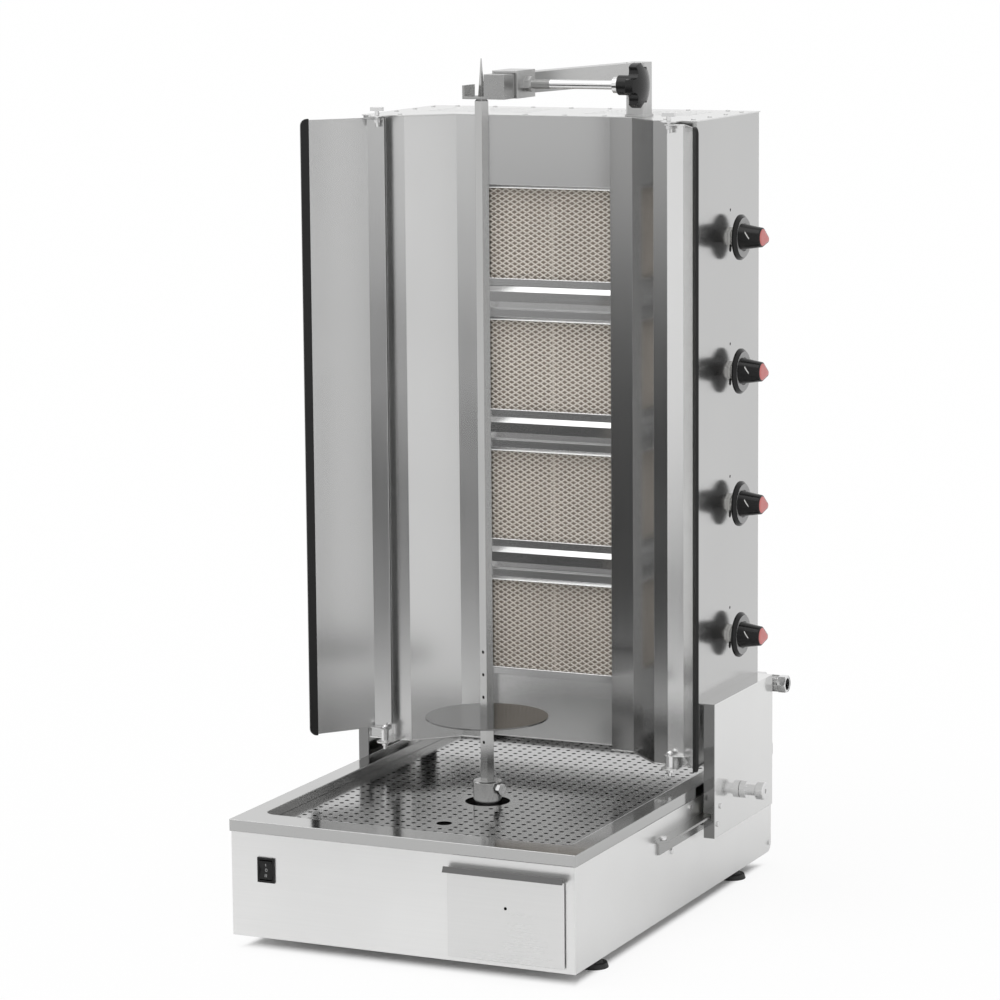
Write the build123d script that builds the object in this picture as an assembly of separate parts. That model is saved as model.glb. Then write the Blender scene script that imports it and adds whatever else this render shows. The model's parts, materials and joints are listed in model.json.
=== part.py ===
from build123d import *
import os
from math import cos, hypot, radians, sin

os.makedirs("parts", exist_ok=True)

# Gas doner grill: a low base cabinet with a driven spit, and a tower of infrared
# burners that slides on two side rails. Millimetres, +Z up, front towards -Y.

# Sheet and clearances
sheet = 1.5
thin_sheet = 1.2
gap = 0.3
run_fit = 0.05

# Base cabinet
base_width = 470.0
base_depth = 663.0
base_height = 149.0
base_corner_r = 12.0
foot_height = 18.0
foot_radius = 19.0
foot_inset_x = 20.5
foot_front_inset = 102.0
foot_rear_inset = 94.0
foot_pad = 6.0
foot_neck_r = 12.0
foot_stud_r = 3.0
foot_stud_rise = 4.0

# Top deck, well and perforated plate
skirt_height = 15.0
skirt_gap = 0.2
rim_side = 24.0
rim_end = 40.0
well_depth = 12.0
well_corner_r = 15.0
ledge_width = 8.0
plate_play = 0.5
finger_hole_r = 10.0
finger_hole_share = 0.6
pan_depth = 12.0
drain_r = 14.0
drain_length = 4.0
drain_from_right = 91.0
drain_from_front = 95.0

# Spit drive and spit
spit_before_tower = 137.0
hub_radius = 18.3
hub_rise = 28.0
hub_drop = 5.0
hub_hole_r = 29.0
socket_depth = 15.0
socket_web = 2.0
shaft_radius = 10.0
shaft_in_gearbox = 18.0
collar_radius = 15.0
collar_rise = 8.0
hub_screw_r = 4.0
hub_screw_across = 13.0
hub_screw_height = 19.0
hub_screw_neck = 3.0
hub_screw_head = 5.5
skewer_side = 12.0
skewer_turn = -20.0
skewer_point = 53.0
skewer_neck = 4.0
skewer_spike = 6.0
skewer_point_flat = 0.8
skewer_above_tower = 83.0
pin_hole_r = 2.0
pin_hole_first = 78.0
pin_hole_pitch = 29.5
pin_hole_count = 5
disc_pin_length = 34.0
disc_radius = 79.0
disc_thickness = 2.0

# Gearmotor
gearbox_width = 90.0
gearbox_depth = 112.0
gearbox_height = 52.0
gearbox_edge = 6.0
gearbox_behind = 18.0
gearbox_to_drawer = 21.0
motor_radius = 36.0
motor_length = 92.0
motor_edge = 6.0
bearing_radius = 20.0
bearing_flange_r = 32.0
bearing_flange = 4.0
bearing_length = 16.0
bracket_sheet = 3.0
bracket_foot = 14.0
gland_radius = 11.0
gland_bore_r = 5.0
gland_length = 12.0
gland_from_left = 60.0
gland_height = 70.0

# Rocker switch
bezel_width = 24.0
bezel_height = 32.0
bezel_proud = 2.0
switch_wall = 2.0
switch_depth = 30.0
switch_from_left = 49.0
switch_height = 106.0
rocker_radius = 13.0
rocker_hollow = 2.2
rocker_pivot_depth = 3.5
rocker_swing = 8.0

# Grease drawer
drawer_width = 156.0
drawer_height = 108.0
drawer_from_right = 13.0
drawer_from_floor = 6.0
drawer_slit = 1.5
drawer_stand = 2.0
drawer_length = 371.5
drawer_box_drop = 14.0
drawer_box_inset = 4.0
lip_forward = 7.5
lip_rise = 7.0
lip_hook = 7.0
lip_overlap = 2.0
drawer_eye_r = 2.0
drawer_eye_drop = 40.0
runner_rise = 26.0
runner_shelf = 12.0

# Side rails that carry the tower
rail_bar = 3.0
rail_reach = 17.0
rail_leg = 21.0
rail_top = 127.0
rail_setback = 36.5
rail_length = 380.0
rail_chamfer = 12.0
rail_bolt_r = 4.5
rail_bolt_head = 4.0
rail_bolt_setback = 12.0
rear_screw_setback = 8.5
rear_screw_rise = 13.0
rail_screw_setback = 59.0
rail_screw_drop = 26.6
upper_screw_setback = 122.0
upper_screw_rise = 16.4

# Tower cabinet
tower_setback = 51.5
tower_depth = 218.0
tower_bottom = 192.0
tower_top = 1023.0
corner_flange = 32.0
rear_flange = 18.0
strip_width = 27.2
wing_flange = 31.0
wing_back = 51.0
throat_play = 1.0
throat_step = 25.0
panel_lap = 12.0
top_overhang = 1.5
top_slot_length = 150.0
top_slot_width = 6.0
top_slot_pitch = 24.0
top_slot_rows = 4
top_slot_from_rear = 45.0
vent_length = 120.0
vent_width = 8.0
vent_pitch = 26.0
vent_rows = 5
vent_from_top = 80.0

# Burners
burner_count = 4
burner_pitch = 174.0
burner_below_top = 155.0
screen_width = 176.0
screen_height = 120.0
screen_lap = 3.0
frame_side = 5.0
frame_upper = 13.5
frame_lower = 9.5
frame_nose = 3.5
frame_depth = 6.0
screen_thickness = 1.0
plaque_side_lap = 4.0
plaque_end_lap = 6.0
plaque_depth = 13.0
plaque_setback = 2.0
housing_wall = 8.0
housing_depth = 56.0
housing_back = 1.5
venturi_r = 13.0
venturi_wall = 1.5
venturi_entry = 10.5
venturi_bell_r = 17.0
venturi_bell = 7.0
ledge_drop = 6.5
ledge_face = 13.5
ledge_forward = 6.0

# Gas train
valve_size = 36.0
valve_length = 36.0
valve_bore_depth = 12.0
injector_across = 17.0
injector_length = 20.0
nozzle_r = 4.0
nozzle_length = 8.0
manifold_r = 11.0
manifold_behind_valve = 25.0
branch_r = 7.0
inlet_height = 258.0
elbow_r = 14.0
elbow_step = 18.0
elbow_bend = 16.0
inlet_r = 10.5
inlet_bore_r = 8.0
inlet_length = 33.0
elbow_reach = 36.0

# Burner knobs
knob_setback = 116.0
knob_stand_off = 13.0
knob_radius = 29.5
knob_flange = 6.0
knob_bevel = 3.5
grip_height = 28.0
grip_round_r = 17.0
grip_point_r = 6.0
grip_round_back = 8.0
grip_point_ahead = 18.5
grip_taper = 0.74
grip_turn = -12.0
grip_edge = 1.5
spindle_r = 4.0
spindle_length = 18.0
plunger_r = 7.0
knob_push = 3.0
bush_r = 9.5
bush_length = 6.0
bush_nut_across = 22.0
bush_nut = 4.0
sight_hole_r = 2.0
sight_hole_rise = 35.0

# Side covers and what they hold
cover_stand_off = 22.0
cover_front_lap = 5.0
cover_rear_lap = 2.0
cover_bottom = 97.0
cover_top = 274.0
cover_flange = 14.5
cover_lip = 32.0
slot_height = 9.0
slide_block_length = 28.0
slide_block_front_inset = 13.0
slide_block_rear_inset = 18.0
slide_block_half = 14.0
clamp_setback = 102.0
clamp_above_rail = 15.0
clamp_thread_r = 6.0
clamp_shaft_r = 7.25
clamp_shaft = 22.0
clamp_collar_r = 11.3
clamp_collar = 8.5
clamp_head_r = 11.5
clamp_head = 12.0
clamp_dimple_r = 3.0
clamp_nut_across = 22.0
clamp_nut = 8.0

# Heat shield doors
hinge_inset = 30.0
hinge_ahead = 20.0
ear_radius = 11.0
pin_radius = 2.5
pin_neck_r = 3.0
pin_neck = 6.0
wing_length = 17.0
wing_width = 6.0
wing_height = 5.0
pin_nut_across = 8.0
pin_nut = 4.5
pin_tail = 5.0
dome_radius = 4.5
dome_rise = 7.0
spacer_r = 5.0
door_floor_gap = 16.0
door_top_gap = 2.0
bend_ahead = 6.3
bend_out = 17.4
door_strip = 24.0
door_strip_turn = 40.0
door_panel = 85.5
door_lip = 8.0
door_lip_turn = 12.0
door_edge_thickness = 4.0
door_edge_corner = 9.0
tab_radius = 7.0
left_door_open = 37.5
right_door_open = 31.0

# Top arm and spit holder
bar_side = 28.0
bar_clear_of_spit = 11.5
bar_above_tower = 36.0
bar_front_ahead = 18.0
bar_length = 83.0
holder_sheet = 3.0
holder_left = 18.0
holder_depth = 31.0
holder_lip = 14.0
holder_hole_r = 9.5
sleeve_wall = 3.0
sleeve_front_ahead = -15.0
sleeve_length = 54.0
arm_side = 26.0
arm_rise = 8.0
post_x = 129.0
post_setback = 65.0
post_side = 26.5
post_plate = 3.0
post_plate_margin = 1.5
post_round = 3.0
rod_radius = 5.7
rod_height = 14.0
rod_length = 127.0
rod_nut_across = 17.0
rod_nut = 8.0
star_hub_r = 12.5
star_hub = 19.0
star_radius = 28.0
star_thickness = 17.0
star_lobes = 5
star_notch_r = 11.0
star_notch_out = 4.0
star_dome = 60.0
rod_collar_r = 10.0
rod_collar = 7.0

# Screws
screw_head_r = 3.6
screw_head = 1.8
top_screw_r = 3.0
top_screw_head = 1.2
top_screw_inset = 12.0
top_screw_first = 18.0
top_screw_pitch = 56.0
cover_screw_inset = 12.0
cover_screw_step = 10.0
cover_screw_rear = 20.0
cover_screw_rise = 9.0
cover_screw_drop = 13.0

# Working values
half_w = base_width / 2
half_d = base_depth / 2
floor_top = foot_height + sheet
deck_top = foot_height + base_height
deck_under = deck_top - sheet
plate_top = deck_top - well_depth
ledge_top = plate_top - sheet
pan_top = ledge_top - sheet
pan_floor = pan_top - pan_depth
well_w = base_width - 2 * rim_side
well_d = base_depth - 2 * rim_end
tower_rear = half_d - tower_setback
tower_front = tower_rear - tower_depth
spit_y = tower_front - spit_before_tower
hub_top = plate_top + hub_rise
hub_bottom = plate_top - hub_drop
socket_floor = hub_top - socket_depth
shaft_top = socket_floor - socket_web - gap
gearbox_top = pan_floor - bearing_flange - bearing_length
cover_face = half_w + cover_stand_off
tower_inner = half_w - sheet
skewer_top = tower_top + skewer_above_tower
bar_bottom = tower_top + bar_above_tower
rail_rear = half_d - rail_setback
rail_front = rail_rear - rail_length
strip_half = half_w - corner_flange - gap - strip_width
throat_half = screen_width / 2 + frame_side + throat_play
plaque_width = screen_width / 2 + plaque_side_lap
plaque_height = screen_height + 2 * plaque_end_lap
wing_half = throat_half + wing_flange
burner_top_z = tower_top - burner_below_top
knob_y = tower_front + knob_setback
throat_y = tower_front + wing_back
burner_y = throat_y + throat_step
burner_heights = [burner_top_z - burner_pitch * i for i in range(burner_count)]
hinge_x = half_w - hinge_inset
hinge_y = tower_front - hinge_ahead
clamp_y = tower_front + clamp_setback
clamp_z = rail_top + clamp_above_rail
clamp_end = cover_face + clamp_shaft + clamp_head
manifold_x = tower_inner - valve_length / 2


def block(x0, x1, y0, y1, z0, z1):
    """Box between two opposite corners."""
    return Pos((x0 + x1) / 2, (y0 + y1) / 2, (z0 + z1) / 2) * Box(x1 - x0, y1 - y0, z1 - z0)


def rod(radius, start, end):
    """Round bar from one point to another."""
    span = Vector(*end) - Vector(*start)
    lower = (Align.CENTER, Align.CENTER, Align.MIN)
    return Plane(origin=start, z_dir=span) * Cylinder(radius, span.length, align=lower)


def hex_bar(across, start, end):
    """Hexagonal bar from one point to another, by its size across flats."""
    span = Vector(*end) - Vector(*start)
    outline = RegularPolygon(across / 2, 6, major_radius=False)
    return Plane(origin=start, z_dir=span) * extrude(outline, amount=span.length)


def folded(points, thickness):
    """Outline of a folded sheet whose second face lies a thickness to the left of the points."""
    turns = []
    for (ax, ay), (bx, by) in zip(points, points[1:]):
        length = hypot(bx - ax, by - ay)
        turns.append((-(by - ay) / length, (bx - ax) / length))
    far_side = []
    for i, (x, y) in enumerate(points):
        nx, ny = turns[max(i - 1, 0)]
        mx, my = turns[min(i, len(turns) - 1)]
        reach = thickness / (1 + nx * mx + ny * my)
        far_side.append((x + (nx + mx) * reach, y + (ny + my) * reach))
    return make_face(Polyline(*points, *reversed(far_side), close=True))


def upright(outline, bottom, top):
    """Plan outline carried up from one height to another."""
    return Pos(0, 0, bottom) * extrude(outline, amount=top - bottom, dir=(0, 0, 1))


def across(outline, left, right):
    """Side outline, drawn as (y, z), carried along X."""
    return extrude(Plane.YZ.offset(left) * outline, amount=right - left, dir=(1, 0, 0))


def both_sides(piece):
    """A piece and its mirror image on the other side of the grill."""
    return [piece, mirror(piece, about=Plane.YZ)]


def save(name, *pieces):
    """Write one node as a group of its solids."""
    solids = [solid for piece in pieces for solid in piece.solids()]
    export_step(Compound(solids), f"parts/{name}.step")


# Base shell: side and rear walls folded from one sheet, and a welded front wall
# with the drawer and switch openings
drawer_right = half_w - drawer_from_right
drawer_left = drawer_right - drawer_width
drawer_bottom = foot_height + drawer_from_floor
drawer_top = drawer_bottom + drawer_height
switch_x = -half_w + switch_from_left
gland_x = -half_w + gland_from_left
cut_w = bezel_width - switch_wall
cut_h = bezel_height - switch_wall

base_shell = block(-half_w, half_w, -half_d, half_d, foot_height, deck_under)
rear_edge = base_shell.edges().filter_by(Axis.X).group_by(Axis.Z)[0].sort_by(Axis.Y)[-1]
base_shell = fillet(rear_edge, base_corner_r)
base_shell -= block(-half_w + sheet, half_w - sheet, -half_d - 1, half_d - sheet, 0, deck_top)
front_wall = block(-half_w + sheet, half_w - sheet, -half_d, -half_d + sheet, foot_height, deck_under)
box_left = drawer_left + drawer_box_inset
box_right = drawer_right - drawer_box_inset
box_bottom = drawer_bottom + 2
box_top = drawer_top - drawer_box_drop
front_wall -= block(box_left - drawer_slit, box_right + drawer_slit, -half_d - 1, -half_d + 2 * sheet,
                    box_bottom - drawer_slit, box_top + drawer_slit)
front_wall -= block(switch_x - cut_w / 2, switch_x + cut_w / 2, -half_d - 1, -half_d + 2 * sheet,
                    switch_height - cut_h / 2, switch_height + cut_h / 2)
base_shell -= rod(gland_bore_r + sheet, (gland_x, half_d - 2 * sheet, gland_height),
                  (gland_x, half_d + 1, gland_height))
save("base_shell", base_shell, front_wall)

# Base floor and the four bonded rubber feet under it
foot_x = half_w - foot_inset_x
foot_rows = (-half_d + foot_front_inset, half_d - foot_rear_inset)
foot_spots = [(x, y) for x in (-foot_x, foot_x) for y in foot_rows]
seated = (Align.CENTER, Align.CENTER, Align.MIN)
base_floor = block(-half_w + sheet, half_w - sheet, -half_d + sheet, half_d - base_corner_r,
                   foot_height, floor_top)
feet = []
for x, y in foot_spots:
    base_floor -= rod(foot_stud_r + run_fit, (x, y, 0), (x, y, floor_top + 1))
    pad = Pos(x, y, 0) * Cone(foot_radius, foot_radius * 0.9, foot_pad, align=seated)
    pad += Pos(x, y, foot_pad) * Cone(foot_neck_r, foot_neck_r * 0.7, foot_height - foot_pad, align=seated)
    feet.append(pad + rod(foot_stud_r, (x, y, foot_height / 2), (x, y, floor_top + foot_stud_rise)))
save("base_floor", base_floor)
save("feet", *feet)

# Top deck: rim with a down-turned skirt and a sunk well with a ledge for the plate
skirt_x = half_w + skirt_gap
skirt_y = half_d + skirt_gap
top_deck = block(-skirt_x - sheet, skirt_x + sheet, -skirt_y - sheet, skirt_y + sheet,
                 deck_top - skirt_height, deck_top)
top_deck -= block(-skirt_x, skirt_x, -skirt_y, skirt_y, 0, deck_under)
top_deck -= upright(RectangleRounded(well_w, well_d, well_corner_r), 0, deck_top + 1)
well_wall = RectangleRounded(well_w + 2 * sheet, well_d + 2 * sheet, well_corner_r + sheet)
well_ledge = RectangleRounded(well_w - 2 * ledge_width, well_d - 2 * ledge_width, well_corner_r - ledge_width)
well = upright(well_wall - RectangleRounded(well_w, well_d, well_corner_r), ledge_top, deck_top)
well += upright(well_wall - well_ledge, pan_top, ledge_top)
top_deck += well
save("top_deck", top_deck)

# Perforated plate that lifts out of the well, with the hub hole and a finger hole
perforated_plate = upright(
    RectangleRounded(well_w - 2 * plate_play, well_d - 2 * plate_play, well_corner_r), ledge_top, plate_top)
perforated_plate -= rod(hub_hole_r, (0, spit_y, 0), (0, spit_y, deck_top))
finger_y = spit_y - finger_hole_share * (spit_y + well_d / 2)
perforated_plate -= rod(finger_hole_r, (0, finger_y, 0), (0, finger_y, deck_top))
save("perforated_plate", perforated_plate)

# Drip pan under the ledge, with a raised collar round the shaft and a spout over the drawer
drain_x = half_w - drain_from_right
drain_y = -half_d + drain_from_front
basin = RectangleRounded(well_w - 2 * ledge_width, well_d - 2 * ledge_width, well_corner_r - ledge_width)
drip_pan = upright(RectangleRounded(well_w, well_d, well_corner_r), pan_top - sheet, pan_top)
drip_pan += upright(basin, pan_floor, pan_top)
drip_pan -= upright(offset(basin, -sheet), pan_floor + sheet, pan_top + 1)
drip_pan += rod(collar_radius, (0, spit_y, pan_floor), (0, spit_y, pan_floor + collar_rise))
drip_pan -= rod(collar_radius - sheet, (0, spit_y, pan_floor - 1), (0, spit_y, pan_top))
spout_end = pan_floor - drain_length
drip_pan += rod(drain_r + sheet, (drain_x, drain_y, spout_end), (drain_x, drain_y, pan_floor + sheet))
drip_pan -= rod(drain_r, (drain_x, drain_y, 0), (drain_x, drain_y, pan_top))
save("drip_pan", drip_pan)

# Gearmotor with its bearing neck under the pan, the bracket that carries it and the output shaft
gear_x = drawer_left - gearbox_to_drawer - gearbox_width / 2
gear_y = spit_y + gearbox_behind
gear_front = gear_y - gearbox_depth / 2
gear_rear = gear_y + gearbox_depth / 2
gearbox_bottom = gearbox_top - gearbox_height
motor_z = gearbox_top - gearbox_height / 2
gearbox = block(gear_x - gearbox_width / 2, gear_x + gearbox_width / 2, gear_front, gear_rear,
                gearbox_bottom, gearbox_top)
gearbox = chamfer(gearbox.edges().filter_by(Axis.Z), gearbox_edge)
motor_can = rod(motor_radius, (gear_x, gear_rear, motor_z), (gear_x, gear_rear + motor_length, motor_z))
motor_can = fillet(motor_can.edges().sort_by(Axis.Y)[-1], motor_edge)
bearing = rod(bearing_radius, (0, spit_y, gearbox_top), (0, spit_y, pan_floor))
bearing += rod(bearing_flange_r, (0, spit_y, pan_floor - bearing_flange), (0, spit_y, pan_floor))
gearmotor = gearbox + motor_can + bearing
shaft_bottom = gearbox_top - shaft_in_gearbox
gearmotor -= rod(shaft_radius + run_fit, (0, spit_y, shaft_bottom - gap), (0, spit_y, deck_top))
save("gearmotor", gearmotor)

leg_x = gearbox_width / 2 + bracket_foot / 2
hat = [(-leg_x - bracket_foot, floor_top), (-leg_x, floor_top), (-leg_x, gearbox_bottom - bracket_sheet),
       (leg_x, gearbox_bottom - bracket_sheet), (leg_x, floor_top), (leg_x + bracket_foot, floor_top)]
hat_face = Plane.XZ * folded(hat, bracket_sheet)
motor_bracket = extrude(Pos(gear_x, gear_front, 0) * hat_face, amount=gearbox_depth, dir=(0, 1, 0))
save("motor_bracket", motor_bracket)

output_shaft = rod(shaft_radius, (0, spit_y, shaft_bottom), (0, spit_y, shaft_top))
save("output_shaft", output_shaft)


def on_gland(y):
    """Point on the cable gland's axis."""
    return (gland_x, y, gland_height)


gland = hex_bar(2 * gland_radius, on_gland(half_d), on_gland(half_d + gland_length))
gland += rod(gland_bore_r + sheet - gap, on_gland(half_d - gland_length), on_gland(half_d))
gland -= rod(gland_bore_r, on_gland(0), on_gland(base_depth))
save("cable_gland", gland)

# Drive hub with its square socket and clamp screw
hub = rod(hub_radius, (0, spit_y, hub_bottom), (0, spit_y, hub_top))
hub = chamfer(hub.edges().sort_by(Axis.Z)[-1], 1.5)
hub -= rod(shaft_radius + run_fit, (0, spit_y, 0), (0, spit_y, shaft_top + gap))
socket = Rot(0, 0, skewer_turn) * Rectangle(skewer_side + 2 * gap, skewer_side + 2 * gap)
hub -= Pos(0, spit_y, 0) * upright(socket, socket_floor, hub_top + 1)
screw_dir = Vector(1, 0, 0).rotate(Axis.Z, skewer_turn)
screw_z = plate_top + hub_screw_height
hub_axis = Vector(0, spit_y, screw_z)
screw_seat = hub_radius + hub_screw_neck


def from_hub(distance):
    """Point on the clamp screw's axis at a distance from the spit's axis."""
    return tuple(hub_axis + screw_dir * distance)


hub -= rod(hub_screw_r + run_fit, from_hub(0), from_hub(2 * hub_radius))
save("drive_hub", hub)
hub_screw = rod(hub_screw_r, from_hub(skewer_side / 2 + 2 * gap), from_hub(screw_seat))
hub_screw += hex_bar(hub_screw_across, from_hub(screw_seat), from_hub(screw_seat + hub_screw_head))
save("hub_clamp_screw", hub_screw)

# Square skewer with a thin four-sided spike and a row of pin holes, its pin and the meat disc
skewer_bottom = socket_floor + gap
shoulder = skewer_top - skewer_point
square = Pos(0, spit_y) * Rot(0, 0, skewer_turn) * Rectangle(skewer_side, skewer_side)
tip = Pos(0, spit_y) * Rot(0, 0, skewer_turn) * Rectangle(skewer_point_flat, skewer_point_flat)
skewer = upright(square, skewer_bottom, shoulder)
spike_base = shoulder + skewer_neck
spike = Pos(0, spit_y) * Rot(0, 0, skewer_turn) * Rectangle(skewer_spike, skewer_spike)
skewer += loft([Pos(0, 0, shoulder) * square, Pos(0, 0, spike_base) * spike])
skewer += loft([Pos(0, 0, spike_base) * spike, Pos(0, 0, skewer_top) * tip])
pin_dir = screw_dir.rotate(Axis.Z, -90)
pin_heights = [plate_top + pin_hole_first + pin_hole_pitch * i for i in range(pin_hole_count)]


def across_skewer(radius, length, z):
    """Cross pin through the skewer's middle."""
    middle = Vector(0, spit_y, z)
    return rod(radius, tuple(middle - pin_dir * (length / 2)), tuple(middle + pin_dir * (length / 2)))


for z in pin_heights:
    skewer -= across_skewer(pin_hole_r + run_fit, 2 * skewer_side, z)
save("skewer", skewer)
pin_z = pin_heights[1]
save("disc_pin", across_skewer(pin_hole_r, disc_pin_length, pin_z))
disc_bottom = pin_z + pin_hole_r + gap
meat_disc = rod(disc_radius, (0, spit_y, disc_bottom), (0, spit_y, disc_bottom + disc_thickness))
disc_hole = Pos(0, spit_y) * Rot(0, 0, skewer_turn) * Rectangle(skewer_side + 2 * gap, skewer_side + 2 * gap)
meat_disc -= upright(disc_hole, 0, skewer_top)
save("meat_disc", meat_disc)

# Rocker switch: framed housing and a three-position rocker on a cross pivot
bezel_front = -half_d - bezel_proud
rocker_y = bezel_front + bezel_proud + rocker_pivot_depth
window_h = 2 * (rocker_radius + gap)
window_w = cut_w - 2 * switch_wall
housing_w = cut_w - 2 * run_fit
housing_h = cut_h - 2 * run_fit
bezel = block(switch_x - bezel_width / 2, switch_x + bezel_width / 2, bezel_front, -half_d,
              switch_height - bezel_height / 2, switch_height + bezel_height / 2)
bezel += block(switch_x - housing_w / 2, switch_x + housing_w / 2, -half_d, -half_d + switch_depth,
               switch_height - housing_h / 2, switch_height + housing_h / 2)
bezel -= block(switch_x - window_w / 2, switch_x + window_w / 2, bezel_front - 1, rocker_y + rocker_radius,
               switch_height - window_h / 2, switch_height + window_h / 2)
save("switch_housing", bezel)

face_y = -(rocker_pivot_depth + bezel_proud + 0.6)
rocker_face = Circle(rocker_radius)
rocker_face &= Pos(rocker_radius / 2 + face_y, 0) * Rectangle(rocker_radius, 4 * rocker_radius)
hollow = [(face_y - 1, rocker_radius), (face_y + rocker_hollow, 0), (face_y - 1, -rocker_radius)]
rocker_face -= make_face(Polyline(*hollow, close=True))
rocker_half = window_w / 2 - gap
rocker = across(Pos(rocker_y, switch_height) * rocker_face, switch_x - rocker_half, switch_x + rocker_half)
save("switch_rocker", rocker)

# Grease drawer: folded front with a hooked lip, an open box behind it and two runners
front_y = -half_d - drawer_stand - sheet
lip_y = front_y - lip_forward
lip_z = drawer_top + lip_rise
hook = [(lip_y - lip_hook / 2, lip_z - lip_hook), (lip_y, lip_z), (front_y + sheet, drawer_top),
        (front_y + sheet, drawer_bottom)]
drawer = across(folded(hook, -sheet), drawer_left - lip_overlap, drawer_right + lip_overlap)
drawer -= block(drawer_left - 2 * lip_overlap, drawer_left, front_y, 0, 0, drawer_top)
drawer -= block(drawer_right, drawer_right + 2 * lip_overlap, front_y, 0, 0, drawer_top)
drawer_middle = (drawer_left + drawer_right) / 2
drawer -= rod(drawer_eye_r, (drawer_middle, front_y - lip_forward, drawer_top - drawer_eye_drop),
              (drawer_middle, 0, drawer_top - drawer_eye_drop))
box_front = front_y + sheet
box_rear = front_y + drawer_length
drawer_box = block(box_left, box_right, box_front, box_rear, box_bottom, box_top)
drawer_box -= block(box_left + thin_sheet, box_right - thin_sheet,
                    box_front + thin_sheet, box_rear - thin_sheet, box_bottom + thin_sheet, box_top + 1)
save("drawer", drawer + drawer_box)

shelf_top = box_bottom - gap
web_out = box_left - gap
runner_front = -half_d + 2 * sheet
runner = block(web_out - sheet, web_out, runner_front, box_rear, floor_top, floor_top + runner_rise)
runner += block(web_out - sheet, web_out + runner_shelf, runner_front, box_rear, shelf_top - sheet, shelf_top)
runner_pair = [runner, mirror(runner, about=Plane.YZ.offset(drawer_middle))]
save("drawer_runners", *runner_pair)

# Side rails: angle bars with a chamfered front end and a stop bolt
rail_out = half_w + rail_reach
rail_plan = make_face(Polyline((half_w, rail_front), (rail_out - rail_chamfer, rail_front),
                               (rail_out, rail_front + rail_chamfer), (rail_out, rail_rear - rail_chamfer),
                               (rail_out - rail_chamfer, rail_rear), (half_w, rail_rear), close=True))
rail = upright(rail_plan, rail_top - rail_bar, rail_top)
rail += block(half_w, half_w + rail_bar, rail_front + rail_chamfer, rail_rear, rail_top - rail_leg, rail_top)
save("slide_rails", *both_sides(rail))

bolt_at = (half_w + rail_reach / 2, rail_front + rail_bolt_setback)
side_screw_spots = [(half_d - rear_screw_setback, foot_height + rear_screw_rise),
                    (rail_front + rail_screw_setback, rail_top - rail_screw_drop),
                    (rail_front + upper_screw_setback, rail_top + upper_screw_rise)]
base_screws = [rod(rail_bolt_r, (*bolt_at, rail_top), (*bolt_at, rail_top + rail_bolt_head))]
for y, z in side_screw_spots:
    base_screws.append(rod(screw_head_r, (half_w, y, z), (half_w + screw_head, y, z)))
save("base_screws", *[piece for screw in base_screws for piece in both_sides(screw)])

# Tower side panels with folded front and rear edges; the right one carries the knobs
panel_rear = tower_rear - sheet
side_outline = folded([(half_w - corner_flange, tower_front), (half_w, tower_front), (half_w, panel_rear),
                       (half_w - rear_flange, panel_rear)], sheet)
side_panel = upright(side_outline, tower_bottom, tower_top)
right_panel = side_panel
for z in burner_heights:
    right_panel -= rod(bush_r + run_fit, (half_w - 2 * sheet, knob_y, z), (half_w + 1, knob_y, z))
    sight_z = z + sight_hole_rise
    right_panel -= rod(sight_hole_r, (half_w - 2 * sheet, knob_y, sight_z), (half_w + 1, knob_y, sight_z))
pipe_hole = rod(manifold_r + gap, (manifold_x, knob_y, inlet_height),
                (manifold_x, tower_rear + 1, inlet_height))
right_panel -= pipe_hole
save("side_panel_right", right_panel)
save("side_panel_left", mirror(side_panel, about=Plane.YZ))

# Back panel with cooling slots and the gas pipe's hole
back_panel = block(-half_w, half_w, panel_rear, tower_rear, tower_bottom, tower_top)
for row in range(vent_rows):
    z = tower_top - vent_from_top - row * vent_pitch
    for x in (-vent_length, vent_length):
        slot = Pos(x, z) * SlotOverall(vent_length, vent_width)
        back_panel -= extrude(Plane.XZ * slot, amount=-2 * tower_rear, dir=(0, -1, 0))
back_panel -= pipe_hole
save("back_panel", back_panel)

# Top and bottom plates with the hinge ears
edge_x = half_w + top_overhang
edge_y = tower_front - top_overhang
plate_half = [(edge_x, tower_rear + top_overhang), (edge_x, edge_y), (strip_half, edge_y),
              (wing_half, throat_y - top_overhang)]
plate_outline = make_face(Polyline(*plate_half, *[(-x, y) for x, y in reversed(plate_half)], close=True))
for x in (-hinge_x, hinge_x):
    ear = Pos(x, hinge_y) * Circle(ear_radius)
    neck = Pos(x, (hinge_y + tower_front) / 2) * Rectangle(2 * ear_radius, hinge_ahead)
    plate_outline += ear + neck
    plate_outline -= Pos(x, hinge_y) * Circle(pin_radius + run_fit)
top_plate = upright(plate_outline, tower_top, tower_top + sheet)
for row in range(top_slot_rows):
    y = tower_rear - top_slot_from_rear - row * top_slot_pitch
    for x in (-top_slot_length * 0.75, top_slot_length * 0.75):
        slot = Pos(x, y) * SlotOverall(top_slot_length, top_slot_width)
        top_plate -= upright(slot, tower_top - 1, tower_top + 2 * sheet)
save("top_plate", top_plate)

floor_outline = plate_outline - Pos(0, throat_y) * Rectangle(2 * throat_half, 2 * throat_step)
save("bottom_plate", upright(floor_outline, tower_bottom - sheet, tower_bottom))

# Reflectors: folded sheets that frame the burners on both sides
reflector_outline = folded([(throat_half, burner_y), (throat_half, throat_y), (wing_half, throat_y),
                            (strip_half, tower_front), (half_w - corner_flange - gap, tower_front)], thin_sheet)
reflectors = both_sides(upright(reflector_outline, tower_bottom, tower_top))
save("reflector_right", reflectors[0])
save("reflector_left", reflectors[1])

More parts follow.
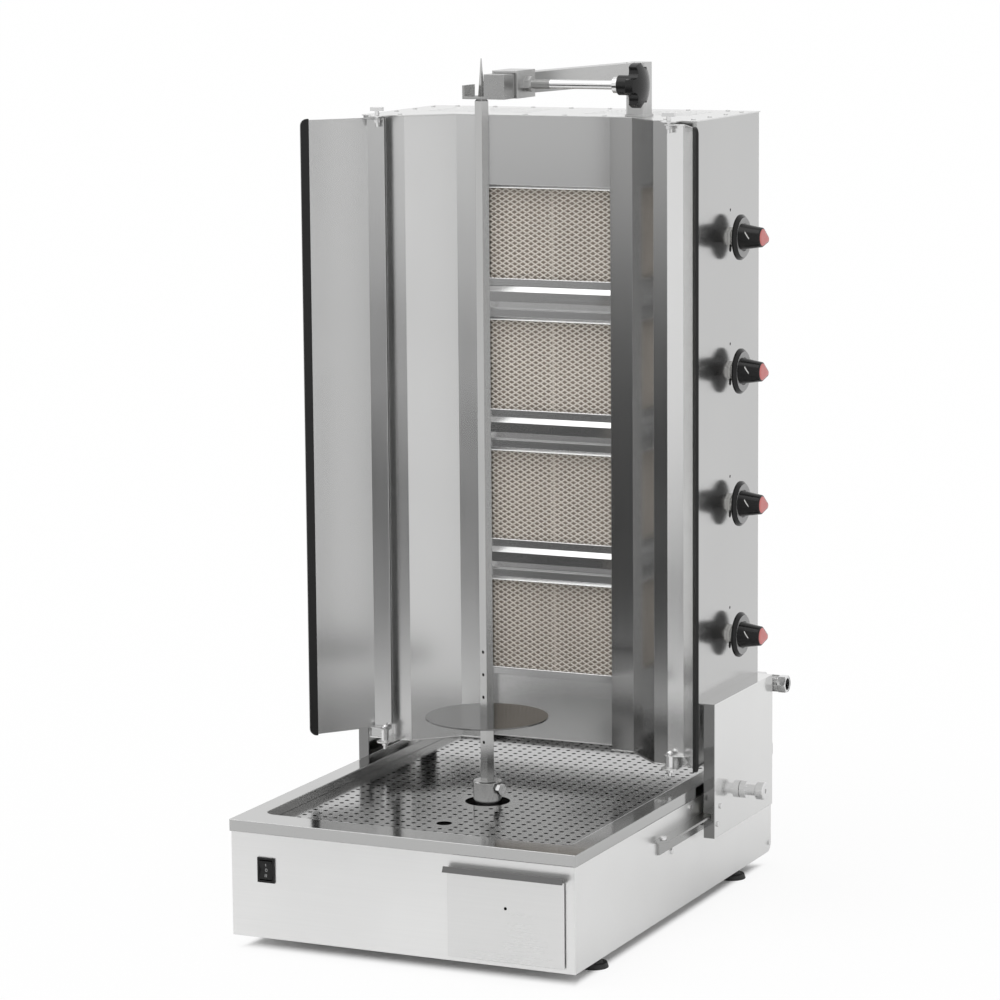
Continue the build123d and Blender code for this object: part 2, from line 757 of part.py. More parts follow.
# Burner panel with one opening for each burner
panel_half = throat_half + panel_lap
burner_panel = block(-panel_half, panel_half, burner_y, burner_y + thin_sheet, tower_bottom, tower_top)
for z in burner_heights:
    open_x = (screen_width + screen_lap) / 2
    open_z = (screen_height + screen_lap) / 2
    burner_panel -= block(-open_x, open_x, burner_y - 1, burner_y + sheet, z - open_z, z + open_z)
save("burner_panel", burner_panel)

# Burners: frame, wire screen, two ceramic plaques and the housing with its venturi
screen_y = burner_y - screen_thickness
frame_y = screen_y - frame_depth
plaque_y = burner_y + plaque_setback
housing_y = burner_y + thin_sheet
seat_y = plaque_y + plaque_depth
valve_left = tower_inner - valve_length
nozzle_tip = valve_left - injector_length - nozzle_length
tube_end = nozzle_tip + venturi_entry - venturi_bell
frames, screens, plaques, housings = [], [], [], []
for z in burner_heights:
    low = z - screen_height / 2
    high = z + screen_height / 2
    frame_top = tower_top if z == burner_heights[0] else high + frame_upper
    frame = block(-screen_width / 2 - frame_side, screen_width / 2 + frame_side, frame_y, screen_y,
                  low - frame_lower, frame_top)
    nose = make_face(Polyline((frame_y, high), (frame_y - frame_nose, high), (frame_y, high + frame_nose),
                              close=True))
    frame += across(nose, -screen_width / 2 - frame_side, screen_width / 2 + frame_side)
    frames.append(frame - block(-screen_width / 2, screen_width / 2, 0, burner_y, low, high))
    screens.append(block(-screen_width / 2 - screen_lap, screen_width / 2 + screen_lap, screen_y, burner_y,
                         low - screen_lap, high + screen_lap))
    for x in (-plaque_width / 2, plaque_width / 2):
        plaques.append(block(x - plaque_width / 2, x + plaque_width / 2, plaque_y, seat_y,
                             z - plaque_height / 2, z + plaque_height / 2))
    outer_x = plaque_width + housing_wall
    outer_z = plaque_height / 2 + housing_wall
    housing = block(-outer_x, outer_x, housing_y, housing_y + housing_depth, z - outer_z, z + outer_z)
    housing -= block(-plaque_width, plaque_width, 0, seat_y, z - plaque_height / 2, z + plaque_height / 2)
    room_x = plaque_width - housing_wall
    room_z = plaque_height / 2 - housing_wall
    housing -= block(-room_x, room_x, 0, housing_y + housing_depth - housing_back, z - room_z, z + room_z)
    housing += rod(venturi_r, (outer_x - housing_wall, knob_y, z), (tube_end, knob_y, z))
    bell = Cone(venturi_r, venturi_bell_r, venturi_bell, align=seated)
    housing += Pos(tube_end, knob_y, z) * Rot(0, 90, 0) * bell
    housing -= rod(venturi_r - venturi_wall, (0, knob_y, z), (tube_end + venturi_bell + 1, knob_y, z))
    housings.append(housing)
save("burner_frames", *frames)
save("burner_screens", *screens)
save("ceramic_plaques", *plaques)
save("burner_housings", *housings)

# Ledges between the burners: folded drip strips with a sloped top
ledges = []
for upper in burner_heights[:-1]:
    top = upper - screen_height / 2 - frame_lower - gap
    edge = frame_y - ledge_forward
    fold = top - ledge_drop
    profile = [(burner_y, fold - ledge_face), (edge, fold - ledge_face), (edge, fold), (frame_y, top),
               (burner_y, top)]
    ledge = across(folded(profile, -thin_sheet), -throat_half + gap, throat_half - gap)
    ledges.append(ledge - block(-throat_half, throat_half, burner_y, burner_y + sheet, tower_bottom, tower_top))
save("separator_ledges", *ledges)

# Gas valves with their injectors, fed by one manifold
manifold_y = knob_y + valve_size / 2 + manifold_behind_valve
valves, branches = [], []
for z in burner_heights:
    valve = block(valve_left, tower_inner, knob_y - valve_size / 2, knob_y + valve_size / 2,
                  z - valve_size / 2, z + valve_size / 2)
    valve += rod(bush_r, (tower_inner, knob_y, z), (half_w + bush_length, knob_y, z))
    bush_nut_ring = hex_bar(bush_nut_across, (half_w, knob_y, z), (half_w + bush_nut, knob_y, z))
    valve += bush_nut_ring
    valve -= rod(plunger_r + run_fit, (tower_inner - valve_bore_depth, knob_y, z),
                 (half_w + bush_length, knob_y, z))
    valve += hex_bar(injector_across, (valve_left - injector_length, knob_y, z), (valve_left, knob_y, z))
    valve += rod(nozzle_r, (nozzle_tip, knob_y, z), (valve_left, knob_y, z))
    valves.append(valve)
    branches.append(rod(branch_r, (manifold_x, knob_y + valve_size / 2, z), (manifold_x, manifold_y, z)))
save("gas_valves", *valves)
elbow_y = tower_rear + elbow_step
manifold = rod(manifold_r, (manifold_x, manifold_y, inlet_height - manifold_r),
               (manifold_x, manifold_y, burner_heights[0] + valve_size / 2))
for branch in branches:
    manifold += branch
manifold += rod(manifold_r, (manifold_x, manifold_y, inlet_height),
                (manifold_x, elbow_y - elbow_bend, inlet_height))
save("gas_manifold", manifold)

elbow_right = half_w + elbow_reach - inlet_length
bend_start = Plane(origin=(manifold_x, elbow_y - elbow_bend, inlet_height), z_dir=(0, 1, 0))
bend_axis = Axis((manifold_x + elbow_bend, elbow_y - elbow_bend, inlet_height), (0, 0, -1))
gas_inlet = revolve(bend_start * Circle(elbow_r), bend_axis, 90)
gas_inlet += rod(elbow_r, (manifold_x + elbow_bend, elbow_y, inlet_height),
                 (elbow_right, elbow_y, inlet_height))
inlet_end = half_w + elbow_reach
gas_inlet += rod(inlet_r, (elbow_right, elbow_y, inlet_height), (inlet_end, elbow_y, inlet_height))
gas_inlet -= rod(inlet_bore_r, (elbow_right + sheet, elbow_y, inlet_height),
                 (inlet_end + 1, elbow_y, inlet_height))
save("gas_inlet", gas_inlet)

# Knobs: each turns on a plunger that is pushed in to light the burner
flange_x = half_w + knob_stand_off
knob_front = flange_x + knob_flange
plunger_start = tower_inner - valve_bore_depth + knob_push + gap
grip_outline = make_hull((Pos(-grip_round_back, 0) * Circle(grip_round_r)).edges()
                         + (Pos(grip_point_ahead, 0) * Circle(grip_point_r)).edges())
grip = loft([grip_outline, Pos(0, 0, grip_height) * scale(grip_outline, grip_taper)])
grip = fillet(grip.faces().sort_by(Axis.Z)[-1].edges(), grip_edge)
for number, z in enumerate(burner_heights, start=1):
    disc = rod(knob_radius, (flange_x, knob_y, z), (knob_front, knob_y, z))
    disc = chamfer(disc.edges().filter_by(GeomType.CIRCLE).sort_by(Axis.X)[-1], knob_bevel)
    knob_plane = Plane(origin=(knob_front, knob_y, z), x_dir=(0, 1, 0), z_dir=(1, 0, 0))
    knob = disc + knob_plane * Rot(0, 0, grip_turn) * grip
    knob += rod(spindle_r, (flange_x - spindle_length, knob_y, z), (flange_x, knob_y, z))
    save(f"knob_{number}", knob)
    plunger = rod(plunger_r, (plunger_start, knob_y, z), (flange_x - gap, knob_y, z))
    plunger -= rod(spindle_r + run_fit, (plunger_start - 1, knob_y, z), (flange_x, knob_y, z))
    save(f"knob_plunger_{number}", plunger)

# Side covers: open boxes that reach down over the rails, with slide blocks inside
cover_front = tower_front + cover_front_lap
cover_rear = tower_rear - cover_rear_lap
flange_in = cover_face - cover_flange
slot_low = rail_top - rail_bar / 2 - slot_height / 2
cover = block(cover_face - sheet, cover_face, cover_front, cover_rear, cover_bottom, cover_top)
cover += block(half_w, cover_face, cover_front, cover_rear, cover_top - sheet, cover_top)
cover += block(half_w, half_w + sheet, cover_front, cover_rear, cover_top - cover_lip, cover_top)
for y in (cover_front, cover_rear - sheet):
    cover += block(flange_in, cover_face, y, y + sheet, cover_bottom, cover_top)
cover -= block(half_w + sheet, rail_out + 1, cover_front - 1, cover_rear + 1, slot_low, slot_low + slot_height)
right_cover = cover - rod(clamp_thread_r + gap, (half_w, clamp_y, clamp_z), (cover_face + 1, clamp_y, clamp_z))
right_cover += hex_bar(clamp_nut_across, (cover_face - sheet - clamp_nut, clamp_y, clamp_z),
                       (cover_face - sheet, clamp_y, clamp_z))
right_cover -= rod(clamp_thread_r + run_fit, (half_w, clamp_y, clamp_z),
                   (cover_face - sheet / 2, clamp_y, clamp_z))
save("side_cover_right", right_cover)
save("side_cover_left", mirror(cover, about=Plane.YZ))

block_in = half_w + rail_bar + 1
block_out = cover_face - sheet
rail_middle = rail_top - rail_bar / 2
slide_blocks = []
for y in (tower_front + slide_block_front_inset, tower_rear - slide_block_rear_inset - slide_block_length):
    slider = block(block_in, block_out, y, y + slide_block_length,
                   rail_middle - slide_block_half, rail_middle + slide_block_half)
    slider -= block(block_in - 1, rail_out + gap, y - 1, y + slide_block_length + 1,
                    rail_top - rail_bar - gap, rail_top + gap)
    slide_blocks += both_sides(slider)
save("slide_blocks", *slide_blocks)

# Clamp screw that locks the tower on the base
clamp_screw = rod(clamp_thread_r, (half_w + gap, clamp_y, clamp_z), (cover_face + gap, clamp_y, clamp_z))
clamp_screw += rod(clamp_shaft_r, (cover_face + gap, clamp_y, clamp_z),
                   (cover_face + clamp_shaft, clamp_y, clamp_z))
clamp_screw += rod(clamp_collar_r, (cover_face + gap, clamp_y, clamp_z),
                   (cover_face + gap + clamp_collar, clamp_y, clamp_z))
clamp_head_bar = rod(clamp_head_r, (cover_face + clamp_shaft, clamp_y, clamp_z), (clamp_end, clamp_y, clamp_z))
clamp_screw += chamfer(clamp_head_bar.edges().filter_by(GeomType.CIRCLE), 1.2)
clamp_screw -= rod(clamp_dimple_r, (clamp_end - 2, clamp_y, clamp_z), (clamp_end + 1, clamp_y, clamp_z))
save("tower_clamp_screw", clamp_screw)

# Door hinge bolts: thumb bolts on top, domed bolts below
door_bottom = tower_bottom + door_floor_gap
door_top = tower_top - door_top_gap
hinge_bolts = []
for x in (-hinge_x, hinge_x):
    deck = tower_top + sheet
    nut_top = door_top - sheet - gap
    bolt = rod(pin_radius, (x, hinge_y, nut_top - pin_nut - pin_tail), (x, hinge_y, deck))
    bolt += rod(pin_neck_r, (x, hinge_y, deck), (x, hinge_y, deck + pin_neck))
    bolt += block(x - wing_length / 2, x + wing_length / 2, hinge_y - wing_width / 2, hinge_y + wing_width / 2,
                  deck + pin_neck, deck + pin_neck + wing_height)
    bolt += hex_bar(pin_nut_across, (x, hinge_y, nut_top - pin_nut), (x, hinge_y, nut_top))
    hinge_bolts.append(bolt)
    floor = tower_bottom - sheet
    dome_base = door_bottom + sheet + gap
    bolt = rod(pin_radius, (x, hinge_y, floor - pin_nut - pin_tail), (x, hinge_y, dome_base))
    bolt += rod(dome_radius, (x, hinge_y, dome_base), (x, hinge_y, dome_base + dome_rise - dome_radius))
    bolt += Pos(x, hinge_y, dome_base + dome_rise - dome_radius) * Sphere(dome_radius, arc_size1=0)
    bolt += rod(spacer_r, (x, hinge_y, tower_bottom), (x, hinge_y, door_bottom - gap))
    bolt += hex_bar(pin_nut_across, (x, hinge_y, floor - pin_nut), (x, hinge_y, floor))
    hinge_bolts.append(bolt)
save("hinge_bolts", *hinge_bolts)

# Doors: folded heat shields with pin tabs and a black edging along the free lip
bend = (bend_out, -bend_ahead)
strip_turn = radians(door_strip_turn)
strip_end = (bend_out - door_strip * cos(strip_turn), -bend_ahead + door_strip * sin(strip_turn))
panel_end = (bend_out, -bend_ahead - door_panel)
lip_turn = radians(door_lip_turn)
lip_end = (panel_end[0] + door_lip * sin(lip_turn), panel_end[1] - door_lip * cos(lip_turn))
door = upright(folded([strip_end, bend, panel_end, lip_end], thin_sheet), door_bottom, door_top)
lip_edges = door.edges().filter_by(lambda edge: abs(edge.length - thin_sheet) < 0.01)
door = fillet(lip_edges.sort_by(Axis.Y)[:2], door_edge_corner - sheet)
tab_corner = (bend_out, -bend_ahead - tab_radius)
tab_outline = make_face(Polyline(strip_end, bend, tab_corner, (0, -tab_radius), close=True))
tab_outline += Circle(tab_radius)
tab_outline -= Circle(pin_radius + run_fit)
for low in (door_bottom, door_top - sheet):
    door += upright(tab_outline, low, low + sheet)
edge_plan = folded([panel_end, lip_end], thin_sheet)
edge_plan = offset(edge_plan, (door_edge_thickness - thin_sheet) / 2, kind=Kind.INTERSECTION)
edging = upright(edge_plan, door_bottom - sheet, door_top + sheet)
end_edges = edging.edges().filter_by(lambda edge: abs(edge.length - door_edge_thickness) < 0.01)
edging = fillet(end_edges.sort_by(Axis.Y)[:2], door_edge_corner)
edging -= door
for side, turn, flip in (("right", right_door_open, False), ("left", -left_door_open, True)):
    hinge = Pos(-hinge_x if flip else hinge_x, hinge_y, 0) * Rot(0, 0, turn)
    save(f"door_{side}", hinge * (mirror(door, about=Plane.YZ) if flip else door))
    save(f"door_edge_{side}", hinge * (mirror(edging, about=Plane.YZ) if flip else edging))

# Visible screw heads on the tower
tower_screws = []
cover_screw_spots = [(cover_front + cover_screw_inset + cover_screw_step, rail_top + cover_screw_rise),
                     (cover_front + cover_screw_inset, rail_top - cover_screw_drop),
                     (cover_rear - cover_screw_rear, rail_top - cover_screw_drop)]
for y, z in cover_screw_spots:
    tower_screws += both_sides(rod(screw_head_r, (cover_face, y, z), (cover_face + screw_head, y, z)))
spots = [(half_w - top_screw_inset, tower_front + top_screw_first + top_screw_pitch * i) for i in range(4)]
spots += [(strip_half + top_screw_inset, tower_front + top_screw_inset)]
spots += [(top_screw_pitch * (i + 0.5), throat_y + top_screw_inset / 2) for i in range(2)]
spots += [(top_screw_pitch * (i + 0.5), tower_rear - top_screw_inset) for i in range(4)]
deck = tower_top + sheet
for x, y in spots:
    tower_screws += both_sides(rod(top_screw_r, (x, y, deck), (x, y, deck + top_screw_head)))
save("tower_screws", *tower_screws)

# Top arm: post and beam on the tower, the sleeve at its front end
bar_left = bar_clear_of_spit
bar_right = bar_left + bar_side
bar_top = bar_bottom + bar_side
sleeve_front = spit_y - sleeve_front_ahead
sleeve_rear = sleeve_front + sleeve_length
inner_gap = gap + sleeve_wall
sleeve = block(bar_left - inner_gap, bar_right + inner_gap, sleeve_front, sleeve_rear,
               bar_bottom - inner_gap, bar_top + inner_gap)
sleeve -= block(bar_left - gap, bar_right + gap, sleeve_front - 1, sleeve_rear - sleeve_wall,
                bar_bottom - gap, bar_top + gap)
rod_y = (sleeve_front + sleeve_rear) / 2
rod_z = bar_bottom + rod_height
sleeve_right = bar_right + inner_gap
sleeve += hex_bar(rod_nut_across, (sleeve_right, rod_y, rod_z), (sleeve_right + rod_nut, rod_y, rod_z))
sleeve -= rod(rod_radius + run_fit, (bar_right - bar_side / 2, rod_y, rod_z),
              (sleeve_right + rod_length, rod_y, rod_z))
save("arm_sleeve", sleeve)

post_y = tower_front + post_setback
arm_middle = bar_bottom + bar_side / 2
sleeve_mid = (bar_left + bar_right) / 2
run = Vector(post_x - sleeve_mid, post_y - sleeve_rear, arm_rise)
run_up = run.cross(Vector(0, 0, 1)).cross(run)
beam_plane = Plane(origin=(sleeve_mid, sleeve_rear, arm_middle), x_dir=run_up, z_dir=run)
beam = beam_plane * (Pos(0, 0, -arm_side) * Box(arm_side, arm_side, run.length + arm_side, align=seated))
beam -= block(-base_width, base_width, -base_depth, sleeve_rear, deck, bar_top + bar_side)
post_top = arm_middle + arm_rise + arm_side / 2
post = Pos(post_x, post_y) * RectangleRounded(post_side, post_side, post_round)
foot_side = post_side + 2 * post_plate_margin
foot_plate = Pos(post_x, post_y) * RectangleRounded(foot_side, foot_side, post_round)
beam += upright(post, deck, post_top) + upright(foot_plate, deck, deck + post_plate)
save("top_arm", beam)

# Spit holder: bar in the sleeve with the plate that guides the skewer's point
holder_front = spit_y - bar_front_ahead
holder = block(bar_left, bar_right, holder_front, holder_front + bar_length, bar_bottom, bar_top)
holder_under = bar_bottom - holder_sheet
holder_back = holder_front + holder_depth
holder += block(-holder_left, bar_right, holder_front, holder_back, holder_under, bar_bottom)
holder += block(-holder_left, -holder_left + holder_sheet, holder_front, holder_back,
                holder_under, bar_bottom + holder_lip)
holder -= rod(holder_hole_r, (0, spit_y, bar_bottom - holder_sheet - 1), (0, spit_y, bar_bottom + gap))
save("spit_holder", holder)

# Clamp rod and its star knob
rod_end = sleeve_right + rod_length
clamp_rod = rod(rod_radius, (bar_right + gap, rod_y, rod_z), (rod_end + star_hub, rod_y, rod_z))
clamp_rod += rod(rod_collar_r, (rod_end - rod_collar, rod_y, rod_z), (rod_end, rod_y, rod_z))
save("clamp_rod", clamp_rod)
star_outline = Circle(star_radius)
star_outline -= PolarLocations(star_radius + star_notch_out, star_lobes) * Circle(star_notch_r)
star_plane = Plane(origin=(rod_end, rod_y, rod_z), x_dir=(0, 1, 0), z_dir=(1, 0, 0))
star = Pos(0, 0, star_hub) * extrude(star_outline, amount=star_thickness)
star &= Pos(0, 0, star_hub + star_thickness - star_dome) * Sphere(star_dome)
star += Cylinder(star_hub_r, star_hub, align=seated)
star -= Cylinder(rod_radius, star_hub, align=seated)
save("star_knob", star_plane * star)
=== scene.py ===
import json

import bpy
import numpy as np
from mathutils import Matrix, Vector


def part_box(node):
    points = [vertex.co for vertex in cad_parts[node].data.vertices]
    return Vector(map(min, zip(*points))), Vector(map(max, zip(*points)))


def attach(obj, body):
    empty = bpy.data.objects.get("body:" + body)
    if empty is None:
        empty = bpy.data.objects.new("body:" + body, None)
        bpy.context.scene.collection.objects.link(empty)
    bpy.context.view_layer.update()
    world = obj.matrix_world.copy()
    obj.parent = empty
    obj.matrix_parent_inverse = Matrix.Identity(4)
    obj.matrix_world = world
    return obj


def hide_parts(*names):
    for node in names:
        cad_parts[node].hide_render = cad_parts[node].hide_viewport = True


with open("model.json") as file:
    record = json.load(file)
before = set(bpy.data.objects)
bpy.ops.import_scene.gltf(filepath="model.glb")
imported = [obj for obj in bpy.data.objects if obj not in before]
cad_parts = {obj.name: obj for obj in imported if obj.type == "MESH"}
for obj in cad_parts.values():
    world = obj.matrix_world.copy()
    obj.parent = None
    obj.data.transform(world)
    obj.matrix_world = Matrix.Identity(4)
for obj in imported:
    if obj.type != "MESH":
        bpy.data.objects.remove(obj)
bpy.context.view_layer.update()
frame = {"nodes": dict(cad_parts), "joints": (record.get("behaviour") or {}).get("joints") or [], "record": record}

# Studio: a pale floor, even light from all round and one broad soft lamp above.
# A dark cloth lies on the floor out of sight at the front left, so that the sheet steel has tone.
scene = bpy.context.scene
scene.view_settings.view_transform = "Standard"


def maths(tree, operation, *terms):
    """Math node of a tree. Each term is a number or the socket that feeds it; gives the result's socket."""
    node = tree.nodes.new("ShaderNodeMath")
    node.operation = operation
    for socket, term in zip(node.inputs, terms):
        if isinstance(term, (int, float)):
            socket.default_value = term
        else:
            tree.links.new(term, socket)
    return node.outputs[0]


def studio_world():
    """White room: what the camera, gloss and glass see is white, and the light itself is a little lower."""
    world = bpy.data.worlds.new("white_room")
    world.use_nodes = True
    tree = world.node_tree
    tree.nodes.clear()
    output = tree.nodes.new("ShaderNodeOutputWorld")
    mix = tree.nodes.new("ShaderNodeMixShader")
    light = tree.nodes.new("ShaderNodeBackground")
    light.inputs["Color"].default_value = (1, 1, 1, 1)
    light.inputs["Strength"].default_value = 0.80
    white = tree.nodes.new("ShaderNodeBackground")
    white.inputs["Color"].default_value = (1, 1, 1, 1)
    white.inputs["Strength"].default_value = 1.0
    path = tree.nodes.new("ShaderNodeLightPath")
    direct = maths(tree, "MAXIMUM", path.outputs["Is Camera Ray"], path.outputs["Is Glossy Ray"])
    seen = maths(tree, "MAXIMUM", direct, path.outputs["Is Transmission Ray"])
    link = tree.links.new
    link(seen, mix.inputs[0])
    link(light.outputs[0], mix.inputs[1])
    link(white.outputs[0], mix.inputs[2])
    link(mix.outputs[0], output.inputs["Surface"])
    return world


scene.world = studio_world()


def matt_card(name, colour, corners):
    """One flat stage card through four corners, with a matt finish."""
    mesh = bpy.data.meshes.new(name)
    mesh.from_pydata(corners, [], [(0, 1, 2, 3)])
    card = bpy.data.objects.new(name, mesh)
    scene.collection.objects.link(card)
    paint = bpy.data.materials.new(name)
    paint.use_nodes = True
    shader = paint.node_tree.nodes["Principled BSDF"]
    shader.inputs["Base Color"].default_value = (*colour, 1)
    shader.inputs["Roughness"].default_value = 1.0
    shader.inputs["Specular IOR Level"].default_value = 0.0
    mesh.materials.append(paint)
    return card


floor_reach = 60.0
floor_corners = [(floor_reach * x, floor_reach * y, 0) for x, y in ((-1, -1), (1, -1), (1, 1), (-1, 1))]
floor = matt_card("floor", (0.95, 0.95, 0.95), floor_corners)
white_share = 0.90
shade_from, shade_full = 0.004, 0.040
side_share = 2.2


def lighten_floor(material):
    """Mix white into what the camera sees of the floor. The share is full round the grill and falls to none
    well under the base, by the distance in from its nearer edge, so that the shadow there stays. A distance
    in from the long sides counts for more."""
    tree = material.node_tree
    link = tree.links.new
    low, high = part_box("base_shell")
    place = tree.nodes.new("ShaderNodeTexCoord")
    axes = tree.nodes.new("ShaderNodeSeparateXYZ")
    link(place.outputs["Object"], axes.inputs[0])
    insets = []
    for axis, start, end, share in (("X", low.x, high.x, side_share), ("Y", low.y, high.y, 1.0)):
        from_middle = maths(tree, "SUBTRACT", axes.outputs[axis], (start + end) / 2)
        inset = maths(tree, "SUBTRACT", (end - start) / 2, maths(tree, "ABSOLUTE", from_middle))
        insets.append(maths(tree, "MULTIPLY", inset, share))
    fade = tree.nodes.new("ShaderNodeMapRange")
    fade.interpolation_type = "SMOOTHSTEP"
    fade.inputs["From Min"].default_value = shade_from
    fade.inputs["From Max"].default_value = shade_full
    fade.inputs["To Min"].default_value = white_share
    fade.inputs["To Max"].default_value = 0.0
    link(maths(tree, "MINIMUM", *insets), fade.inputs["Value"])
    path = tree.nodes.new("ShaderNodeLightPath")
    paper = tree.nodes.new("ShaderNodeEmission")
    paper.inputs["Strength"].default_value = 1.0
    lighten = tree.nodes.new("ShaderNodeMixShader")
    link(maths(tree, "MULTIPLY", path.outputs["Is Camera Ray"], fade.outputs["Result"]), lighten.inputs[0])
    link(tree.nodes["Principled BSDF"].outputs[0], lighten.inputs[1])
    link(paper.outputs[0], lighten.inputs[2])
    link(lighten.outputs[0], tree.nodes["Material Output"].inputs["Surface"])


lighten_floor(floor.data.materials[0])
cloth = matt_card("dark_cloth", (0.06, 0.06, 0.06),
                  [(-1.25, -1.30, 0.003), (-0.10, -1.30, 0.003), (-1.30, -8.00, 0.003), (-4.4, -8.00, 0.003)])
cloth.visible_camera = False
cloth.visible_shadow = False
cloth.visible_diffuse = False

lamp = bpy.data.lights.new("soft_lamp", "SUN")
lamp.energy = 0.80
lamp.angle = 0.9
lamp_object = bpy.data.objects.new("soft_lamp", lamp)
lamp_object.rotation_euler = (0.36, -0.27, 0.0)
scene.collection.objects.link(lamp_object)

view_turn, view_rise, view_roll = np.radians([24.843, 9.094, -0.473])
back = Vector((np.sin(view_turn) * np.cos(view_rise),
               -np.cos(view_turn) * np.cos(view_rise),
               np.sin(view_rise)))
level = Vector((np.cos(view_turn), np.sin(view_turn), 0))
upward = back.cross(level)
right = level * np.cos(view_roll) + upward * np.sin(view_roll)
top = upward * np.cos(view_roll) - level * np.sin(view_roll)
camera_data = bpy.data.cameras.new("camera")
camera_data.sensor_width = 36.0
camera_data.lens = 138.43
camera = bpy.data.objects.new("camera", camera_data)
camera_place = Matrix.Translation((2.0459, -4.4486, 1.3201))
camera.matrix_world = camera_place @ Matrix((right, top, back)).transposed().to_4x4()
scene.collection.objects.link(camera)
scene.camera = camera

# Base cabinet: satin stainless sheet, 1.5 mm, folded, with a front wall welded in
# and a floor sheet. The brushing runs along the front.
scratch_share = 0.35
noise_low, noise_high = 0.35, 0.95


def steel(name, colour, roughness, grain, depth=0.03, cloud=0.04, edge=0.0007):
    """Stainless sheet. Noise drawn out along the grain roughens and shades it, a slow cloud dulls it in
    places, and the folds and cut edges are a little round. The grain is the noise's scale on each axis."""
    metal = bpy.data.materials.new(name)
    metal.use_nodes = True
    tree = metal.node_tree
    link = tree.links.new
    shader = tree.nodes["Principled BSDF"]
    shader.inputs["Metallic"].default_value = 1.0
    place = tree.nodes.new("ShaderNodeTexCoord")
    stretch = tree.nodes.new("ShaderNodeMapping")
    stretch.inputs["Scale"].default_value = grain
    scratch = tree.nodes.new("ShaderNodeTexNoise")
    scratch.inputs["Scale"].default_value = 1.0
    scratch.inputs["Detail"].default_value = 3.0
    haze = tree.nodes.new("ShaderNodeTexNoise")
    haze.inputs["Scale"].default_value = 5.0
    haze.inputs["Detail"].default_value = 2.0
    both = maths(tree, "MULTIPLY_ADD", scratch.outputs["Fac"], scratch_share, haze.outputs["Fac"])
    tone = tree.nodes.new("ShaderNodeMapRange")
    tone.inputs["From Min"].default_value = noise_low
    tone.inputs["From Max"].default_value = noise_high
    tone.inputs["To Min"].default_value = 1.0 - cloud
    tone.inputs["To Max"].default_value = 1.0 + cloud
    tint = tree.nodes.new("ShaderNodeVectorMath")
    tint.operation = "SCALE"
    tint.inputs[0].default_value = colour
    gloss = tree.nodes.new("ShaderNodeMapRange")
    gloss.inputs["From Min"].default_value = noise_low
    gloss.inputs["From Max"].default_value = noise_high
    gloss.inputs["To Min"].default_value = roughness * 0.9
    gloss.inputs["To Max"].default_value = roughness * 1.1
    fold = tree.nodes.new("ShaderNodeBevel")
    fold.samples = 4
    fold.inputs["Radius"].default_value = edge
    bump = tree.nodes.new("ShaderNodeBump")
    bump.inputs["Strength"].default_value = depth
    bump.inputs["Distance"].default_value = 0.0002
    link(place.outputs["Object"], stretch.inputs["Vector"])
    link(stretch.outputs["Vector"], scratch.inputs["Vector"])
    link(place.outputs["Object"], haze.inputs["Vector"])
    link(both, tone.inputs["Value"])
    link(both, gloss.inputs["Value"])
    link(tone.outputs["Result"], tint.inputs["Scale"])
    link(tint.outputs["Vector"], shader.inputs["Base Color"])
    link(gloss.outputs["Result"], shader.inputs["Roughness"])
    link(scratch.outputs["Fac"], bump.inputs["Height"])
    link(fold.outputs["Normal"], bump.inputs["Normal"])
    link(bump.outputs["Normal"], shader.inputs["Normal"])
    return metal


def dress(material, *nodes):
    """Give CAD nodes their finish."""
    for node in nodes:
        slots = frame["nodes"][node].data.materials
        slots.clear()
        slots.append(material)


front_steel = steel("front_steel", (0.78, 0.78, 0.775), 0.32, (6, 500, 500), depth=0.02)
dress(front_steel, "base_shell", "base_floor")

# Feet: soft black rubber, each a round pad with a short neck and a stud through the floor.
# They are matt, with a paler bloom in places.


def moulded(name, colour, roughness, pores, depth, lighter, shine=0.5):
    """Moulded plastic or rubber: fine pores in the surface, and a paler bloom where a slow noise is high."""
    plastic = bpy.data.materials.new(name)
    plastic.use_nodes = True
    tree = plastic.node_tree
    link = tree.links.new
    shader = tree.nodes["Principled BSDF"]
    shader.inputs["Specular IOR Level"].default_value = shine
    place = tree.nodes.new("ShaderNodeTexCoord")
    pore = tree.nodes.new("ShaderNodeTexNoise")
    pore.inputs["Scale"].default_value = pores
    pore.inputs["Detail"].default_value = 2.0
    bloom = tree.nodes.new("ShaderNodeTexNoise")
    bloom.inputs["Scale"].default_value = 40.0
    ramp = tree.nodes.new("ShaderNodeMix")
    ramp.data_type = "RGBA"
    ramp.inputs["A"].default_value = (*colour, 1)
    ramp.inputs["B"].default_value = (*lighter, 1)
    gloss = tree.nodes.new("ShaderNodeMapRange")
    gloss.inputs["To Min"].default_value = roughness * 0.8
    gloss.inputs["To Max"].default_value = roughness * 1.2
    bump = tree.nodes.new("ShaderNodeBump")
    bump.inputs["Strength"].default_value = depth
    bump.inputs["Distance"].default_value = 0.0002
    fold = tree.nodes.new("ShaderNodeBevel")
    fold.samples = 4
    fold.inputs["Radius"].default_value = 0.0006
    link(place.outputs["Object"], pore.inputs["Vector"])
    link(place.outputs["Object"], bloom.inputs["Vector"])
    link(bloom.outputs["Fac"], ramp.inputs["Factor"])
    link(ramp.outputs["Result"], shader.inputs["Base Color"])
    link(pore.outputs["Fac"], gloss.inputs["Value"])
    link(gloss.outputs["Result"], shader.inputs["Roughness"])
    link(pore.outputs["Fac"], bump.inputs["Height"])
    link(fold.outputs["Normal"], bump.inputs["Normal"])
    link(bump.outputs["Normal"], shader.inputs["Normal"])
    return plastic


rubber = moulded("black_rubber", (0.012, 0.012, 0.012), 0.62, 900, 0.4, (0.030, 0.030, 0.029))
dress(rubber, "feet")

